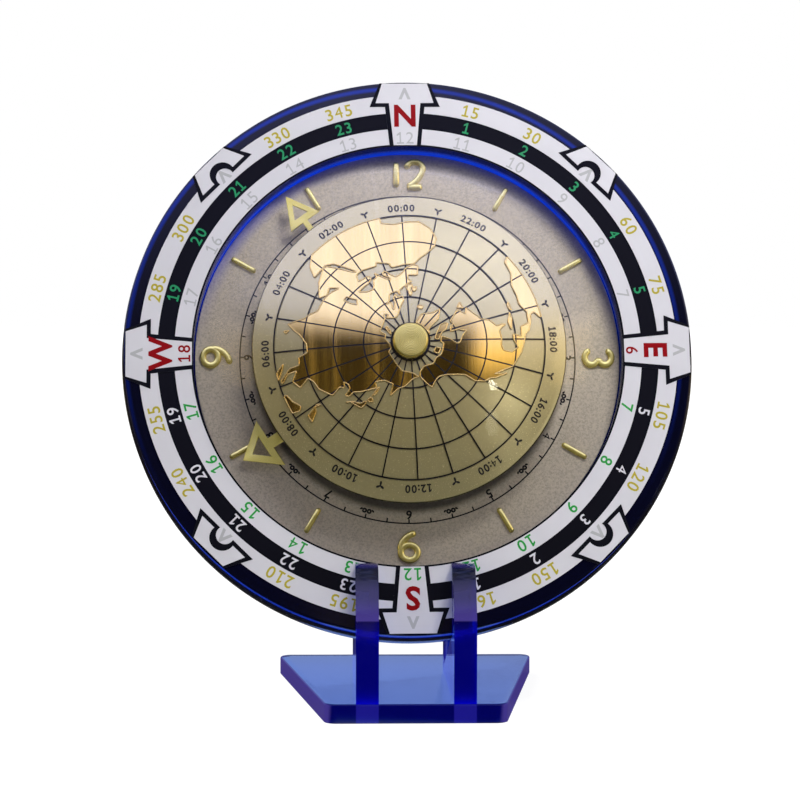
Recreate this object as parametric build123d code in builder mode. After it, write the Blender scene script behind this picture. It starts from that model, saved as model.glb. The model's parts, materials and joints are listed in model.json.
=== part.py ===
from build123d import *
import os
from math import atan2, cos, degrees, radians, sin, sqrt

# World time clock on a slotted stand. Millimetres, +Z up, front towards -Y.
# The origin is the centre of the base's bottom face. The head leans back on its own plane:
# there x is right, y is up the dial, and the third number is the height above the bezel's front.

# Stand
base_thickness = 6.0
base_depth = 98.0
base_back_width = 87.0
base_front_width = 55.4
base_corner_radius = 4.0
base_edge_bevel = 0.4
arm_thickness = 7.0
arm_spacing = 29.9
arm_foot_depth = 65.8
arm_front_rise = 18.0
lip_reach = 22.0
lip_nose = 6.5
nose_drop_share = 0.1
nose_tip_share = 0.35
arm_post_reach = 53.0
arm_post_top_depth = 14.0
arm_back_rise = 22.0
arm_corner_radius = 2.5

# Head and bezel
recline = 15.0
head_height = 106.1
head_shift = -1.3
head_setback = 34.8
bezel_radius = 90.0
bezel_thickness = 6.0
bezel_bevel = 0.6
opening_radius = 68.15
dial_depth = 7.75
dial_thickness = 1.0
skirt_wall = 1.85
trap_lip = 1.25
trap_lip_height = 1.05
back_plate_thickness = 6.75
back_plate_overhang = 1.0
running_gap = 0.25
close_gap = 0.05
slot_gap = 0.2

# Printed films on the bezel
film = 0.15
scale_outer_radius = 85.4
band_outer_radius = 79.4
band_inner_radius = 74.0
scale_inner_radius = 68.4
bezel_rest = -0.5
arrow_margin = 0.4
arrow_head_length = 6.9
arrow_head_width = 14.6
arrow_wing_width = 19.0
arrow_neck_width = 10.2
arrow_foot_width = 7.5
mark_head_width = 12.8
mark_wing_width = 18.6
mark_arch_width = 8.2
mark_arch_height = 4.6

# Crystal
crystal_rise = 20.5
crystal_wall = 2.0
crystal_foot = 5.5

# Dial furniture
numeral_centre_radius = 61.0
numeral_height = 9.6
numeral_stroke = 1.5
one_shift_share = -0.36
two_shift_share = 0.24
two_radius_share = 0.24
three_sweep = 255.0
six_bowl_share = 0.56
six_bend_across = 0.62
six_bend_up = 0.5
six_end_across = 0.7
marker_height = 1.2
baton_inner_radius = 56.3
baton_outer_radius = 65.3
baton_width = 1.5
dial_screw_circle = 36.0
dial_screw_radius = 1.0
dial_screw_head = 1.9
dial_screw_head_height = 0.9
dial_screw_length = 3.4

# Hands
hand_thickness = 0.8
hour_hand_height = -4.9
hour_angle = 236.9
hour_tip_radius = 62.4
hour_head_length = 10.4
hour_head_width = 17.0
hour_stem_width = 3.6
hour_boss_radius = 4.2
minute_hand_height = -2.4
minute_angle = 322.9
minute_tip_radius = 64.9
minute_head_length = 10.5
minute_head_width = 11.4
minute_stem_width = 1.8
minute_boss_radius = 3.2
head_hole_share = 0.44
head_hole_seat = 0.38
head_lap = 0.5

# World disc
dome_radius = 160.0
dome_apex = 13.9
disc_radius = 49.5
disc_thickness = 1.2
equator_radius = 42.543
map_turn = -3.0
land_height = 0.3
knob_radius = 5.5
knob_height = 2.6
knob_bevel = 0.5
washer_radius = 6.2
washer_height = 0.5
hub_radius = 6.0
hub_height = 3.0
hub_neck_radius = 1.5
hub_roof = 0.3
neck_share = 0.7

# Movement
case_depth = 17.0
case_wall = 1.6
case_front_wall = 2.0
cover_thickness = 2.5
post_radius = 4.0
post_stand = 7.4
world_arbor_radius = 0.85
minute_tube_radius = 1.8
hour_tube_radius = 2.6
tube_gap = 0.08
tube_stand = 0.5
nut_flats = 11.0
nut_height = 1.6
nut_washer_height = 0.4
nut_washer_radius = 6.8
arbor_radius = 0.75
pivot_radius = 0.5
pivot_length = 0.8
case_screw_inset = 3.6
case_screw_low = -8.6
case_screw_radius = 0.8
case_screw_head = 1.7
case_screw_head_height = 1.0
case_screw_length = 6.0
boss_radius = 2.2
pillar_radius = 1.4

# Wheels: tooth counts, modules and faces
motion_module = 0.5
train_module = 0.4
motor_module = 0.25
minute_pinion_teeth = 10
motion_wheel_teeth = 30
motion_pinion_teeth = 8
hour_wheel_teeth = 32
intermediate_teeth = 32
intermediate_pinion_teeth = 14
world_wheel_teeth = 28
centre_wheel_teeth = 40
third_pinion_teeth = 8
third_wheel_teeth = 32
fourth_pinion_teeth = 8
fourth_wheel_teeth = 48
rotor_pinion_teeth = 8
setting_pinion_teeth = 10
wheel_face = 1.0
level_gap = 0.4
third_direction = 20.0
fourth_direction = 75.0
rotor_direction = 110.0
rotor_radius = 2.4
rotor_length = 3.0
tooth_tip_share = 0.16
tooth_root_share = 0.5
tooth_tip = 0.85
tooth_root = 1.2

# Cell, door and electrical pieces
cell_radius = 7.25
cell_length = 49.5
cell_nub_radius = 2.6
cell_nub_length = 1.0
cell_centre = -20.0
door_half_width = 8.2
door_taper = 0.5
door_thickness = 1.4
door_gap = 0.15
door_grips = 4
door_grip_pitch = 2.0
cell_end_room = 3.15
contact_thickness = 0.4
contact_width = 9.0
board_width = 10.0
board_length = 17.0
board_thickness = 1.0
board_centre = 22.6
board_up = 3.2
board_level = 3.0
board_pillar_share = 0.3
can_radius = 1.0
can_length = 6.0
coil_axis = 25.0
coil_start = -12.0
coil_length = 12.0
coil_radius = 2.7
coil_flange = 0.8
bobbin_radius = 1.5
core_width = 2.0
lug_width = 3.6
plate_thickness = 0.8
stator_level = 2.2
stator_left = -18.0
stator_drop = 3.0
stator_height = 4.0
stator_margin = 1.6
stator_shoulder = 3.4
stator_pillar_inset = 2.0
stator_pillar_right = -2.0
stator_pillar_up = 20.0
setting_knob_radius = 5.2
setting_knob_height = 4.5
knob_grips = 18
knob_grip_share = 0.09

right_angle = 90.0

os.makedirs("parts", exist_ok=True)

# Frames worked out from the sizes above
lean_sin = sin(radians(recline))
lean_cos = cos(radians(recline))
base_front = -base_depth / 2
head_y = base_front + head_setback
head_z = base_thickness + head_height
HEAD = Plane(origin=(head_shift, head_y, head_z), x_dir=(1, 0, 0), z_dir=(0, -lean_cos, lean_sin))
HEAD_AXIS = Axis(HEAD.origin, HEAD.z_dir)
SECTION = Plane(origin=HEAD.origin, x_dir=HEAD.x_dir, z_dir=-HEAD.y_dir)
SIDE = Plane(origin=HEAD.origin, x_dir=HEAD.y_dir, z_dir=HEAD.x_dir)

plate_front = -bezel_thickness - running_gap
plate_back = plate_front - back_plate_thickness
plate_radius = bezel_radius + back_plate_overhang
dial_back = -dial_depth - dial_thickness
dial_radius = opening_radius - running_gap
skirt_radius = opening_radius + skirt_wall
trap_radius = opening_radius - trap_lip
trap_top = dial_back - slot_gap
trap_bottom = trap_top - trap_lip_height
boss_edge_radius = trap_radius - running_gap / 2
groove_bottom = trap_bottom - running_gap
film_top = 3 * film
arrow_tip_radius = bezel_radius - arrow_margin
arrow_wing_radius = arrow_tip_radius - arrow_head_length
case_front = plate_back
case_inside = case_front - case_front_wall
case_back = case_front - case_depth
cover_back = case_back - cover_thickness
cell_half = cell_length / 2 + cell_nub_length / 2
inner_half = cell_half + cell_end_room
case_half = inner_half + case_wall
case_width = 2 * case_half


def level(height):
    """The plane parallel to the dial at a height above the bezel's front."""
    return HEAD.offset(height)


def turned(height, clock_angle):
    """A plane parallel to the dial whose upward direction points at an angle clockwise from the top."""
    return Plane(level(height).location * Rotation(0, 0, -clock_angle))


def lean(up, height):
    """A point of the head's middle section as (y, z) of the stand."""
    return (head_y + up * lean_sin - height * lean_cos, head_z + up * lean_cos + height * lean_sin)


def dial_point(radius, clock_angle):
    """A point of the dial from its radius and its angle clockwise from the top."""
    return (radius * sin(radians(clock_angle)), radius * cos(radians(clock_angle)))


def save(builder, name):
    """Label a finished piece and write its file."""
    builder.part.label = name
    export_step(builder.part, f"parts/{name}.step")


def ring(inner, outer, bottom, top):
    """A flat ring about the head's axis, drawn as a section and turned."""
    with BuildSketch(SECTION) as section:
        with Locations(((inner + outer) / 2, (bottom + top) / 2)):
            Rectangle(outer - inner, top - bottom)
    revolve(section.sketch, axis=HEAD_AXIS)


def rod(radius, bottom, top, at=(0, 0), mode=Mode.ADD):
    """A round bar square to the dial."""
    with BuildSketch(level(bottom)) as face:
        with Locations(at):
            Circle(radius)
    extrude(face.sketch, amount=top - bottom, mode=mode)


def block(width, height, bottom, top, at=(0, 0), mode=Mode.ADD):
    """A square-edged block square to the dial."""
    with BuildSketch(level(bottom)) as face:
        with Locations(at):
            Rectangle(width, height)
    extrude(face.sketch, amount=top - bottom, mode=mode)


# Stand: base sheet and two slotted arms
with BuildPart() as stand_base:
    with BuildSketch() as base_outline:
        with BuildLine():
            Polyline(
                (-base_front_width / 2, base_front),
                (base_front_width / 2, base_front),
                (base_back_width / 2, -base_front),
                (-base_back_width / 2, -base_front),
                close=True,
            )
        make_face()
        fillet(base_outline.vertices(), base_corner_radius)
    extrude(amount=base_thickness)
    chamfer(stand_base.faces().sort_by(Axis.Z)[-1].edges(), base_edge_bevel)
save(stand_base, "stand_base")

slot_front = film_top + running_gap
slot_back = plate_back - slot_gap
slot_radius = plate_radius + slot_gap
lip_top = -bezel_radius + lip_reach
post_top = -bezel_radius + arm_post_reach
arm_front = base_front
arm_back = arm_front + arm_foot_depth
slot_middle = plate_back / 2
slot_depth_line = -bezel_radius + arm_thickness
nose_start = lean(lip_top - nose_drop_share * lip_reach, slot_front + lip_nose)
nose_tip = lean(lip_top, slot_front + nose_tip_share * lip_nose)
post_front = lean(post_top, slot_middle)
post_rear = lean(post_top, slot_back - arm_post_top_depth)


def arm(centre):
    """One arm: foot, rounded front lip and rear post, with the head's slot cut through it."""
    with BuildSketch(Plane.YZ.offset(centre - arm_thickness / 2)) as outline:
        with BuildLine():
            Line((arm_back, base_thickness), (arm_front, base_thickness))
            Line((arm_front, base_thickness), (arm_front, base_thickness + arm_front_rise))
            TangentArc((arm_front, base_thickness + arm_front_rise), nose_start, tangent=(0, 1))
            ThreePointArc(nose_start, nose_tip, lean(lip_top, slot_middle))
            Line(lean(lip_top, slot_middle), lean(slot_depth_line, slot_middle))
            Line(lean(slot_depth_line, slot_middle), post_front)
            Line(post_front, post_rear)
            Line(post_rear, (arm_back, base_thickness + arm_back_rise))
            Line((arm_back, base_thickness + arm_back_rise), (arm_back, base_thickness))
        make_face()
        top_corners = outline.vertices().sort_by(Axis.Y)[-2:]
        fillet(top_corners.sort_by(Axis.X)[-1], arm_corner_radius)
    extrude(outline.sketch, amount=arm_thickness)
    rod(slot_radius, slot_back, slot_front, mode=Mode.SUBTRACT)


with BuildPart() as stand_arm_left:
    arm(-arm_spacing / 2)
save(stand_arm_left, "stand_arm_left")

with BuildPart() as stand_arm_right:
    arm(arm_spacing / 2)
save(stand_arm_right, "stand_arm_right")

# Head: back plate with the bezel's groove, and the dial that traps the bezel's lip
dial_screw_points = [dial_point(dial_screw_circle, angle) for angle in (60, 180, 300)]
post_hole_radius = post_radius + slot_gap

with BuildPart() as back_plate:
    with BuildSketch(SECTION):
        with BuildLine():
            Polyline(
                (post_hole_radius, plate_back),
                (plate_radius, plate_back),
                (plate_radius, plate_front),
                (skirt_radius + running_gap, plate_front),
                (skirt_radius + running_gap, groove_bottom),
                (boss_edge_radius, groove_bottom),
                (boss_edge_radius, dial_back),
                (post_hole_radius, dial_back),
                close=True,
            )
        make_face()
    revolve(axis=HEAD_AXIS)
    for spot in dial_screw_points:
        rod(dial_screw_radius + close_gap, dial_back - dial_screw_length, dial_back, spot, Mode.SUBTRACT)
save(back_plate, "back_plate")

with BuildPart() as dial_plate:
    ring(post_hole_radius, dial_radius, dial_back, -dial_depth)
    for spot in dial_screw_points:
        rod(dial_screw_radius + slot_gap, dial_back, -dial_depth, spot, Mode.SUBTRACT)
save(dial_plate, "dial_plate")

with BuildPart() as dial_screws:
    for spot in dial_screw_points:
        rod(dial_screw_radius, dial_back - dial_screw_length + slot_gap, -dial_depth, spot)
        rod(dial_screw_head, -dial_depth, -dial_depth + dial_screw_head_height, spot)
        with BuildSketch(level(-dial_depth + dial_screw_head_height)):
            with Locations(spot):
                Rectangle(2 * dial_screw_head, dial_screw_radius / 2)
        extrude(amount=-dial_screw_head_height / 2, mode=Mode.SUBTRACT)
save(dial_screws, "dial_screws")


def stroke(drawn):
    """Give drawn lines the width of a numeral's stroke."""
    trace(drawn.line, line_width=numeral_stroke)


def draw_twelve():
    """The 12: an upright stroke, then an arch, a sloping stroke and a foot."""
    with BuildLine() as one:
        Line((one_shift, -numeral_half), (one_shift, numeral_half))
    stroke(one)
    with BuildLine() as two:
        hook = (two_shift - two_radius, numeral_half - two_radius)
        shoulder = (two_shift + two_radius, numeral_half - two_radius)
        foot = (two_shift - two_radius, -numeral_half)
        ThreePointArc(hook, (two_shift, numeral_half), shoulder)
        Line(shoulder, foot)
        Line(foot, (two_shift + two_radius, -numeral_half))
    stroke(two)


def draw_three():
    """The 3: two open bowls that meet in the middle."""
    bowl = numeral_half / 2
    for side in (-1, 1):
        with BuildLine() as open_bowl:
            CenterArc((0, side * bowl), bowl, side * -90, side * three_sweep)
        stroke(open_bowl)


def draw_six(flip=1):
    """The 6, or the 9 when it is turned half round: a ring and a stem that curls away from it."""
    bowl = numeral_half * six_bowl_share
    centre = flip * (bowl - numeral_half)
    with Locations((0, centre)):
        Circle(bowl + numeral_stroke / 2)
        Circle(bowl - numeral_stroke / 2, mode=Mode.SUBTRACT)
    with BuildLine() as stem:
        ThreePointArc(
            (-flip * bowl, centre),
            (-flip * bowl * six_bend_across, flip * numeral_half * six_bend_up),
            (flip * bowl * six_end_across, flip * numeral_half),
        )
    stroke(stem)


def draw_nine():
    """The 9."""
    draw_six(-1)


def numeral(angle, turn, draw):
    """One applied numeral, at its place on the dial and turned to stand as it does there."""
    spot = dial_point(numeral_centre_radius, angle)
    place = level(-dial_depth).location * Location((spot[0], spot[1], 0), (0, 0, turn))
    with BuildSketch(Plane(place)) as figure:
        draw()
    extrude(figure.sketch, amount=marker_height)


numeral_half = (numeral_height - numeral_stroke) / 2
one_shift = numeral_height * one_shift_share
two_shift = numeral_height * two_shift_share
two_radius = numeral_height * two_radius_share
with BuildPart() as hour_numerals:
    numeral(0, 0, draw_twelve)
    numeral(90, -90, draw_three)
    numeral(180, 0, draw_six)
    numeral(270, 90, draw_nine)
save(hour_numerals, "hour_numerals")

with BuildPart() as hour_batons:
    for hour in (1, 2, 4, 5, 7, 8, 10, 11):
        with BuildSketch(turned(-dial_depth, 30 * hour)):
            with Locations((0, (baton_inner_radius + baton_outer_radius) / 2)):
                Rectangle(baton_width, baton_outer_radius - baton_inner_radius)
        extrude(amount=marker_height)
save(hour_batons, "hour_batons")

# Bezel: turning ring with its trapped lip, printed films and crystal
with BuildPart() as bezel_ring:
    with BuildSketch(SECTION):
        with BuildLine():
            Polyline(
                (opening_radius, 0),
                (bezel_radius - bezel_bevel, 0),
                (bezel_radius, -bezel_bevel),
                (bezel_radius, -bezel_thickness),
                (skirt_radius, -bezel_thickness),
                (skirt_radius, trap_bottom),
                (trap_radius, trap_bottom),
                (trap_radius, trap_top),
                (opening_radius, trap_top),
                close=True,
            )
        make_face()
    revolve(axis=HEAD_AXIS)
save(bezel_ring, "bezel_ring")

with BuildPart() as scale_backing:
    ring(scale_inner_radius, scale_outer_radius, 0, film)
save(scale_backing, "scale_backing")

with BuildPart() as outer_scale:
    ring(band_outer_radius, scale_outer_radius, film, 2 * film)
save(outer_scale, "outer_scale")

with BuildPart() as inner_scale:
    ring(scale_inner_radius, band_inner_radius, film, 2 * film)
save(inner_scale, "inner_scale")

with BuildPart() as cardinal_arrows:
    for quarter in range(4):
        with BuildSketch(turned(2 * film, bezel_rest + 90 * quarter)):
            with BuildLine():
                Polyline(
                    (-arrow_head_width / 2, sqrt(arrow_tip_radius**2 - arrow_head_width**2 / 4)),
                    (arrow_head_width / 2, sqrt(arrow_tip_radius**2 - arrow_head_width**2 / 4)),
                    (arrow_wing_width / 2, arrow_wing_radius),
                    (arrow_neck_width / 2, arrow_wing_radius),
                    (arrow_foot_width / 2, scale_inner_radius),
                    (-arrow_foot_width / 2, scale_inner_radius),
                    (-arrow_neck_width / 2, arrow_wing_radius),
                    (-arrow_wing_width / 2, arrow_wing_radius),
                    close=True,
                )
            make_face()
        extrude(amount=film)
save(cardinal_arrows, "cardinal_arrows")

mark_top = sqrt(arrow_tip_radius**2 - mark_head_width**2 / 4)
with BuildPart() as diagonal_marks:
    for quarter in range(4):
        with BuildSketch(turned(2 * film, bezel_rest + 45 + 90 * quarter)):
            with BuildLine():
                Line((-mark_head_width / 2, mark_top), (mark_head_width / 2, mark_top))
                Line((mark_head_width / 2, mark_top), (mark_wing_width / 2, arrow_wing_radius))
                Line((mark_wing_width / 2, arrow_wing_radius), (mark_arch_width / 2, arrow_wing_radius))
                ThreePointArc(
                    (mark_arch_width / 2, arrow_wing_radius),
                    (0, arrow_wing_radius + mark_arch_height),
                    (-mark_arch_width / 2, arrow_wing_radius),
                )
                Line((-mark_arch_width / 2, arrow_wing_radius), (-mark_wing_width / 2, arrow_wing_radius))
                Line((-mark_wing_width / 2, arrow_wing_radius), (-mark_head_width / 2, mark_top))
            make_face()
        extrude(amount=film)
save(diagonal_marks, "diagonal_marks")


def cap_mid(radius, rise):
    """The middle point of a cap's arc, halfway out from the axis, for an arc that peaks on the axis."""
    sphere = (radius**2 + rise**2) / (2 * rise)
    return (radius / 2, rise - sphere + sqrt(sphere**2 - radius**2 / 4))


crystal_radius = opening_radius - close_gap
crystal_inner_radius = crystal_radius - crystal_wall
crystal_inner_rise = crystal_rise - crystal_wall
with BuildPart() as crystal_dome:
    with BuildSketch(SECTION):
        with BuildLine():
            Line((0, crystal_inner_rise), (0, crystal_rise))
            ThreePointArc((0, crystal_rise), cap_mid(crystal_radius, crystal_rise), (crystal_radius, 0))
            Line((crystal_radius, 0), (crystal_radius, -crystal_foot))
            Line((crystal_radius, -crystal_foot), (crystal_inner_radius, -crystal_foot))
            Line((crystal_inner_radius, -crystal_foot), (crystal_inner_radius, 0))
            ThreePointArc(
                (crystal_inner_radius, 0),
                cap_mid(crystal_inner_radius, crystal_inner_rise),
                (0, crystal_inner_rise),
            )
        make_face()
    revolve(axis=HEAD_AXIS)
save(crystal_dome, "crystal_dome")

# Wheel train: places of the arbors on the dial and heights of the wheels
motion_spot = (-motion_module * (minute_pinion_teeth + motion_wheel_teeth) / 2, 0)
setting_spot = (motion_spot[0] - motion_module * (motion_wheel_teeth + setting_pinion_teeth) / 2, 0)
motion_to_intermediate = motion_module * (motion_pinion_teeth + intermediate_teeth) / 2
intermediate_to_centre = motion_module * (intermediate_pinion_teeth + world_wheel_teeth) / 2
motion_reach = -motion_spot[0]
intermediate_pull = motion_to_intermediate**2 - intermediate_to_centre**2 - motion_reach**2
intermediate_x = intermediate_pull / (2 * motion_reach)
intermediate_spot = (intermediate_x, sqrt(intermediate_to_centre**2 - intermediate_x**2))
centre_to_third = train_module * (centre_wheel_teeth + third_pinion_teeth) / 2
third_spot = (centre_to_third * cos(radians(third_direction)), centre_to_third * sin(radians(third_direction)))
third_to_fourth = train_module * (third_wheel_teeth + fourth_pinion_teeth) / 2
fourth_spot = (
    third_spot[0] + third_to_fourth * cos(radians(fourth_direction)),
    third_spot[1] + third_to_fourth * sin(radians(fourth_direction)),
)
fourth_to_rotor = motor_module * (fourth_wheel_teeth + rotor_pinion_teeth) / 2
rotor_spot = (
    fourth_spot[0] + fourth_to_rotor * cos(radians(rotor_direction)),
    fourth_spot[1] + fourth_to_rotor * sin(radians(rotor_direction)),
)

step = wheel_face + level_gap
hour_level = case_inside - level_gap / 2 - wheel_face
motion_level = hour_level - step
centre_level = motion_level - step
third_level = centre_level - step
fourth_level = third_level - step
intermediate_level = fourth_level - step / 2
world_level = intermediate_level - step


def heading(start, end):
    """The direction from one arbor to another, in degrees."""
    return degrees(atan2(end[1] - start[1], end[0] - start[0]))


def meshed(turn, teeth, direction, follower_teeth):
    """The turn of a wheel whose gap meets the tooth of a driver that has the given turn."""
    return direction + 180 - (turn - direction) * teeth / follower_teeth + 180 / follower_teeth


def toothed(teeth, module, turn, spot, bottom, face=wheel_face):
    """A spur wheel with tapered teeth; the teeth are slim, so that the mesh has play."""
    pitch = 360 / teeth
    radius = teeth * module / 2
    outline = []
    for tooth in range(teeth):
        middle = turn + tooth * pitch
        for reach, share, side in (
            (-tooth_root, tooth_root_share, -1),
            (tooth_tip, tooth_tip_share, -1),
            (tooth_tip, tooth_tip_share, 1),
            (-tooth_root, tooth_root_share, 1),
        ):
            angle = radians(middle + side * share * pitch / 2)
            length = radius + reach * module
            outline.append((spot[0] + length * cos(angle), spot[1] + length * sin(angle)))
    with BuildSketch(level(bottom)) as wheel:
        with BuildLine():
            Polyline(*outline, close=True)
        make_face()
    extrude(wheel.sketch, amount=face)


def arbor(spot, front=case_inside, back=case_back):
    """A wheel's staff between the case's front wall and the cover, with a pivot at each end."""
    rod(arbor_radius, back + slot_gap, front - slot_gap, spot)
    rod(pivot_radius, back - pivot_length, front + pivot_length, spot)


to_motion = heading((0, 0), motion_spot)
to_hour = heading(motion_spot, (0, 0))
to_intermediate = heading(motion_spot, intermediate_spot)
to_world = heading(intermediate_spot, (0, 0))
to_setting = heading(motion_spot, setting_spot)
to_third = heading((0, 0), third_spot)
to_fourth = heading(third_spot, fourth_spot)
to_rotor = heading(fourth_spot, rotor_spot)
motion_turn = meshed(0, minute_pinion_teeth, to_motion, motion_wheel_teeth)
hour_turn = meshed(0, motion_pinion_teeth, to_hour, hour_wheel_teeth)
intermediate_turn = meshed(0, motion_pinion_teeth, to_intermediate, intermediate_teeth)
world_turn = meshed(0, intermediate_pinion_teeth, to_world, world_wheel_teeth)
setting_turn = meshed(motion_turn, motion_wheel_teeth, to_setting, setting_pinion_teeth)
third_turn = meshed(0, centre_wheel_teeth, to_third, third_pinion_teeth)
fourth_turn = meshed(0, third_wheel_teeth, to_fourth, fourth_pinion_teeth)
rotor_turn = meshed(0, fourth_wheel_teeth, to_rotor, rotor_pinion_teeth)

# Movement case: box with a hollow threaded post, pivot holes, screw bosses and stator pillars
post_top_height = case_front + post_stand
post_bore = hour_tube_radius + tube_gap
corner = case_half - case_screw_inset
screw_spots = [(side * corner, up) for side in (-1, 1) for up in (corner, case_screw_low)]
pivot_spots = [motion_spot, intermediate_spot, third_spot, fourth_spot, rotor_spot, setting_spot]
pivot_hole = pivot_radius + close_gap
pivot_depth = pivot_length + slot_gap
stator_front = case_inside - stator_level
stator_pillars = [(left, stator_pillar_up) for left in (stator_left + stator_pillar_inset, stator_pillar_right)]
board_front = case_inside - board_level
board_pillars = [(board_centre, board_up + side * board_length * board_pillar_share) for side in (-1, 1)]

with BuildPart() as movement_case:
    block(case_width, case_width, case_back, case_front)
    block(2 * inner_half, 2 * inner_half, case_back, case_inside, mode=Mode.SUBTRACT)
    for spot in screw_spots:
        rod(boss_radius, case_back, case_inside, spot)
        rod(case_screw_radius + close_gap, case_back, case_back + case_screw_length, spot, Mode.SUBTRACT)
    for spot in stator_pillars:
        rod(pillar_radius, stator_front, case_inside, spot)
    for spot in board_pillars:
        rod(pillar_radius, board_front, case_inside, spot)
    rod(post_radius, case_front, post_top_height)
    rod(post_bore, case_inside, post_top_height, mode=Mode.SUBTRACT)
    for spot in pivot_spots:
        rod(pivot_hole, case_inside, case_inside + pivot_depth, spot, Mode.SUBTRACT)
save(movement_case, "movement_case")

# Cover with the tapered track of the cell door
setting_hole = arbor_radius * 2 + close_gap
bay_half = cell_radius + slot_gap
door_inner = cover_back + door_thickness


def door_section(start, length, spread, mode=Mode.ADD):
    """The door's tapered section, wide on the inside, carried along the case's width."""
    with BuildSketch(SIDE.offset(start)) as section:
        with BuildLine():
            Polyline(
                (cell_centre - door_half_width - spread, door_inner + spread),
                (cell_centre + door_half_width + spread, door_inner + spread),
                (cell_centre + door_half_width - door_taper + spread, cover_back),
                (cell_centre - door_half_width + door_taper - spread, cover_back),
                close=True,
            )
        make_face()
    extrude(section.sketch, amount=length, mode=mode)


bay_length = 2 * cell_half + 2 * slot_gap
with BuildPart() as movement_cover:
    block(case_width, case_width, cover_back, case_back)
    block(bay_length, 2 * bay_half, cover_back, case_back, (0, cell_centre), Mode.SUBTRACT)
    door_section(-inner_half, case_width, door_gap, Mode.SUBTRACT)
    rod(setting_hole, cover_back, case_back, setting_spot, Mode.SUBTRACT)
    for spot in screw_spots:
        rod(case_screw_radius + slot_gap, cover_back, case_back, spot, Mode.SUBTRACT)
    for spot in pivot_spots[:-1]:
        rod(pivot_hole, case_back - pivot_depth, case_back, spot, Mode.SUBTRACT)
    rod(world_arbor_radius + close_gap, case_back - pivot_depth, case_back, mode=Mode.SUBTRACT)
save(movement_cover, "movement_cover")

with BuildPart() as battery_door:
    door_section(-inner_half + door_gap, inner_half + case_half - door_gap, 0)
    with BuildSketch(level(cover_back)):
        with GridLocations(door_grip_pitch, door_grip_pitch, door_grips, 1):
            with Locations((inner_half - door_half_width, cell_centre)):
                Rectangle(door_taper, door_half_width)
    extrude(amount=door_taper, mode=Mode.SUBTRACT)
save(battery_door, "battery_door")

with BuildPart() as cover_screws:
    for spot in screw_spots:
        rod(case_screw_radius, cover_back - slot_gap, case_back + case_screw_length - slot_gap, spot)
        rod(case_screw_head, cover_back - case_screw_head_height, cover_back, spot)
        with BuildSketch(level(cover_back - case_screw_head_height)):
            with Locations(spot):
                Rectangle(2 * case_screw_head, case_screw_radius / 2)
        extrude(amount=case_screw_head_height / 2, mode=Mode.SUBTRACT)
save(cover_screws, "cover_screws")

with BuildPart() as centre_washer:
    ring(post_radius + close_gap, nut_washer_radius, -dial_depth, -dial_depth + nut_washer_height)
save(centre_washer, "centre_washer")

nut_bottom = -dial_depth + nut_washer_height
with BuildPart() as centre_nut:
    with BuildSketch(level(nut_bottom)):
        RegularPolygon(nut_flats / 2, 6, major_radius=False)
        Circle(post_radius + close_gap, mode=Mode.SUBTRACT)
    extrude(amount=nut_height)
save(centre_nut, "centre_nut")

# Cell and its contacts
cell_axis_height = case_inside - cell_radius - slot_gap
with BuildPart() as battery_cell:
    with BuildSketch(SIDE.offset(-cell_half)):
        with Locations((cell_centre, cell_axis_height)):
            Circle(cell_radius)
    extrude(amount=cell_length)
    with BuildSketch(SIDE.offset(-cell_half + cell_length)):
        with Locations((cell_centre, cell_axis_height)):
            Circle(cell_nub_radius)
    extrude(amount=cell_nub_length)
save(battery_cell, "battery_cell")


def contact(side):
    """A cell contact: a leaf on the case's wall with a folded tongue that meets the cell."""
    wall = side * (inner_half - contact_thickness / 2)
    tongue_reach = inner_half - contact_thickness - cell_half
    tongue = side * (cell_half + tongue_reach / 2)
    low = cell_axis_height - contact_width / 2
    block(contact_thickness, contact_width, low, low + contact_width, (wall, cell_centre))
    tongue_top = cell_axis_height + contact_thickness
    block(tongue_reach, contact_width / 3, cell_axis_height, tongue_top, (tongue, cell_centre))


with BuildPart() as contact_positive:
    contact(1)
save(contact_positive, "contact_positive")

with BuildPart() as contact_negative:
    contact(-1)
save(contact_negative, "contact_negative")

# Circuit board with its quartz can, and the motor's stator, core and coil
board_back = board_front - board_thickness
with BuildPart() as circuit_board:
    block(board_width, board_length, board_back, board_front, (board_centre, board_up))
save(circuit_board, "circuit_board")

with BuildPart() as quartz_can:
    with BuildSketch(Plane(SIDE.origin, x_dir=HEAD.x_dir, z_dir=-HEAD.y_dir)):
        with Locations((board_centre, board_back - can_radius)):
            Circle(can_radius)
    extrude(amount=can_length / 2, both=True)
save(quartz_can, "quartz_can")

stator_back = stator_front - plate_thickness
stator_hole = rotor_radius + running_gap
stator_top = coil_axis - stator_drop
stator_bottom = rotor_spot[1] - rotor_radius - stator_margin
stator_right = rotor_spot[0] + rotor_radius + stator_margin
with BuildPart() as stator_plate:
    with BuildSketch(level(stator_back)):
        with BuildLine():
            Polyline(
                (stator_left, stator_top - stator_height),
                (rotor_spot[0] - rotor_radius - stator_shoulder, stator_top - stator_height),
                (rotor_spot[0] - rotor_radius - stator_margin, stator_bottom),
                (stator_right, stator_bottom),
                (stator_right, stator_top),
                (stator_left, stator_top),
                close=True,
            )
        make_face()
        with Locations(rotor_spot):
            Circle(stator_hole, mode=Mode.SUBTRACT)
    extrude(amount=plate_thickness)
save(stator_plate, "stator_plate")

coil_end = coil_start + coil_length
core_back = stator_back - plate_thickness
with BuildPart() as coil_core:
    core_length = coil_length + 2 * coil_flange + 2 * lug_width
    core_middle = (coil_start + coil_end) / 2
    block(core_length, core_width, core_back, stator_back, (core_middle, coil_axis))
    for side in (-1, 1):
        lug = core_middle + side * (core_length - lug_width) / 2
        lug_height = coil_axis + core_width / 2 - stator_top + stator_drop
        block(lug_width, lug_height, core_back, stator_back, (lug, coil_axis + core_width / 2 - lug_height / 2))
save(coil_core, "coil_core")

core_level = (core_back + stator_back) / 2


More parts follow.
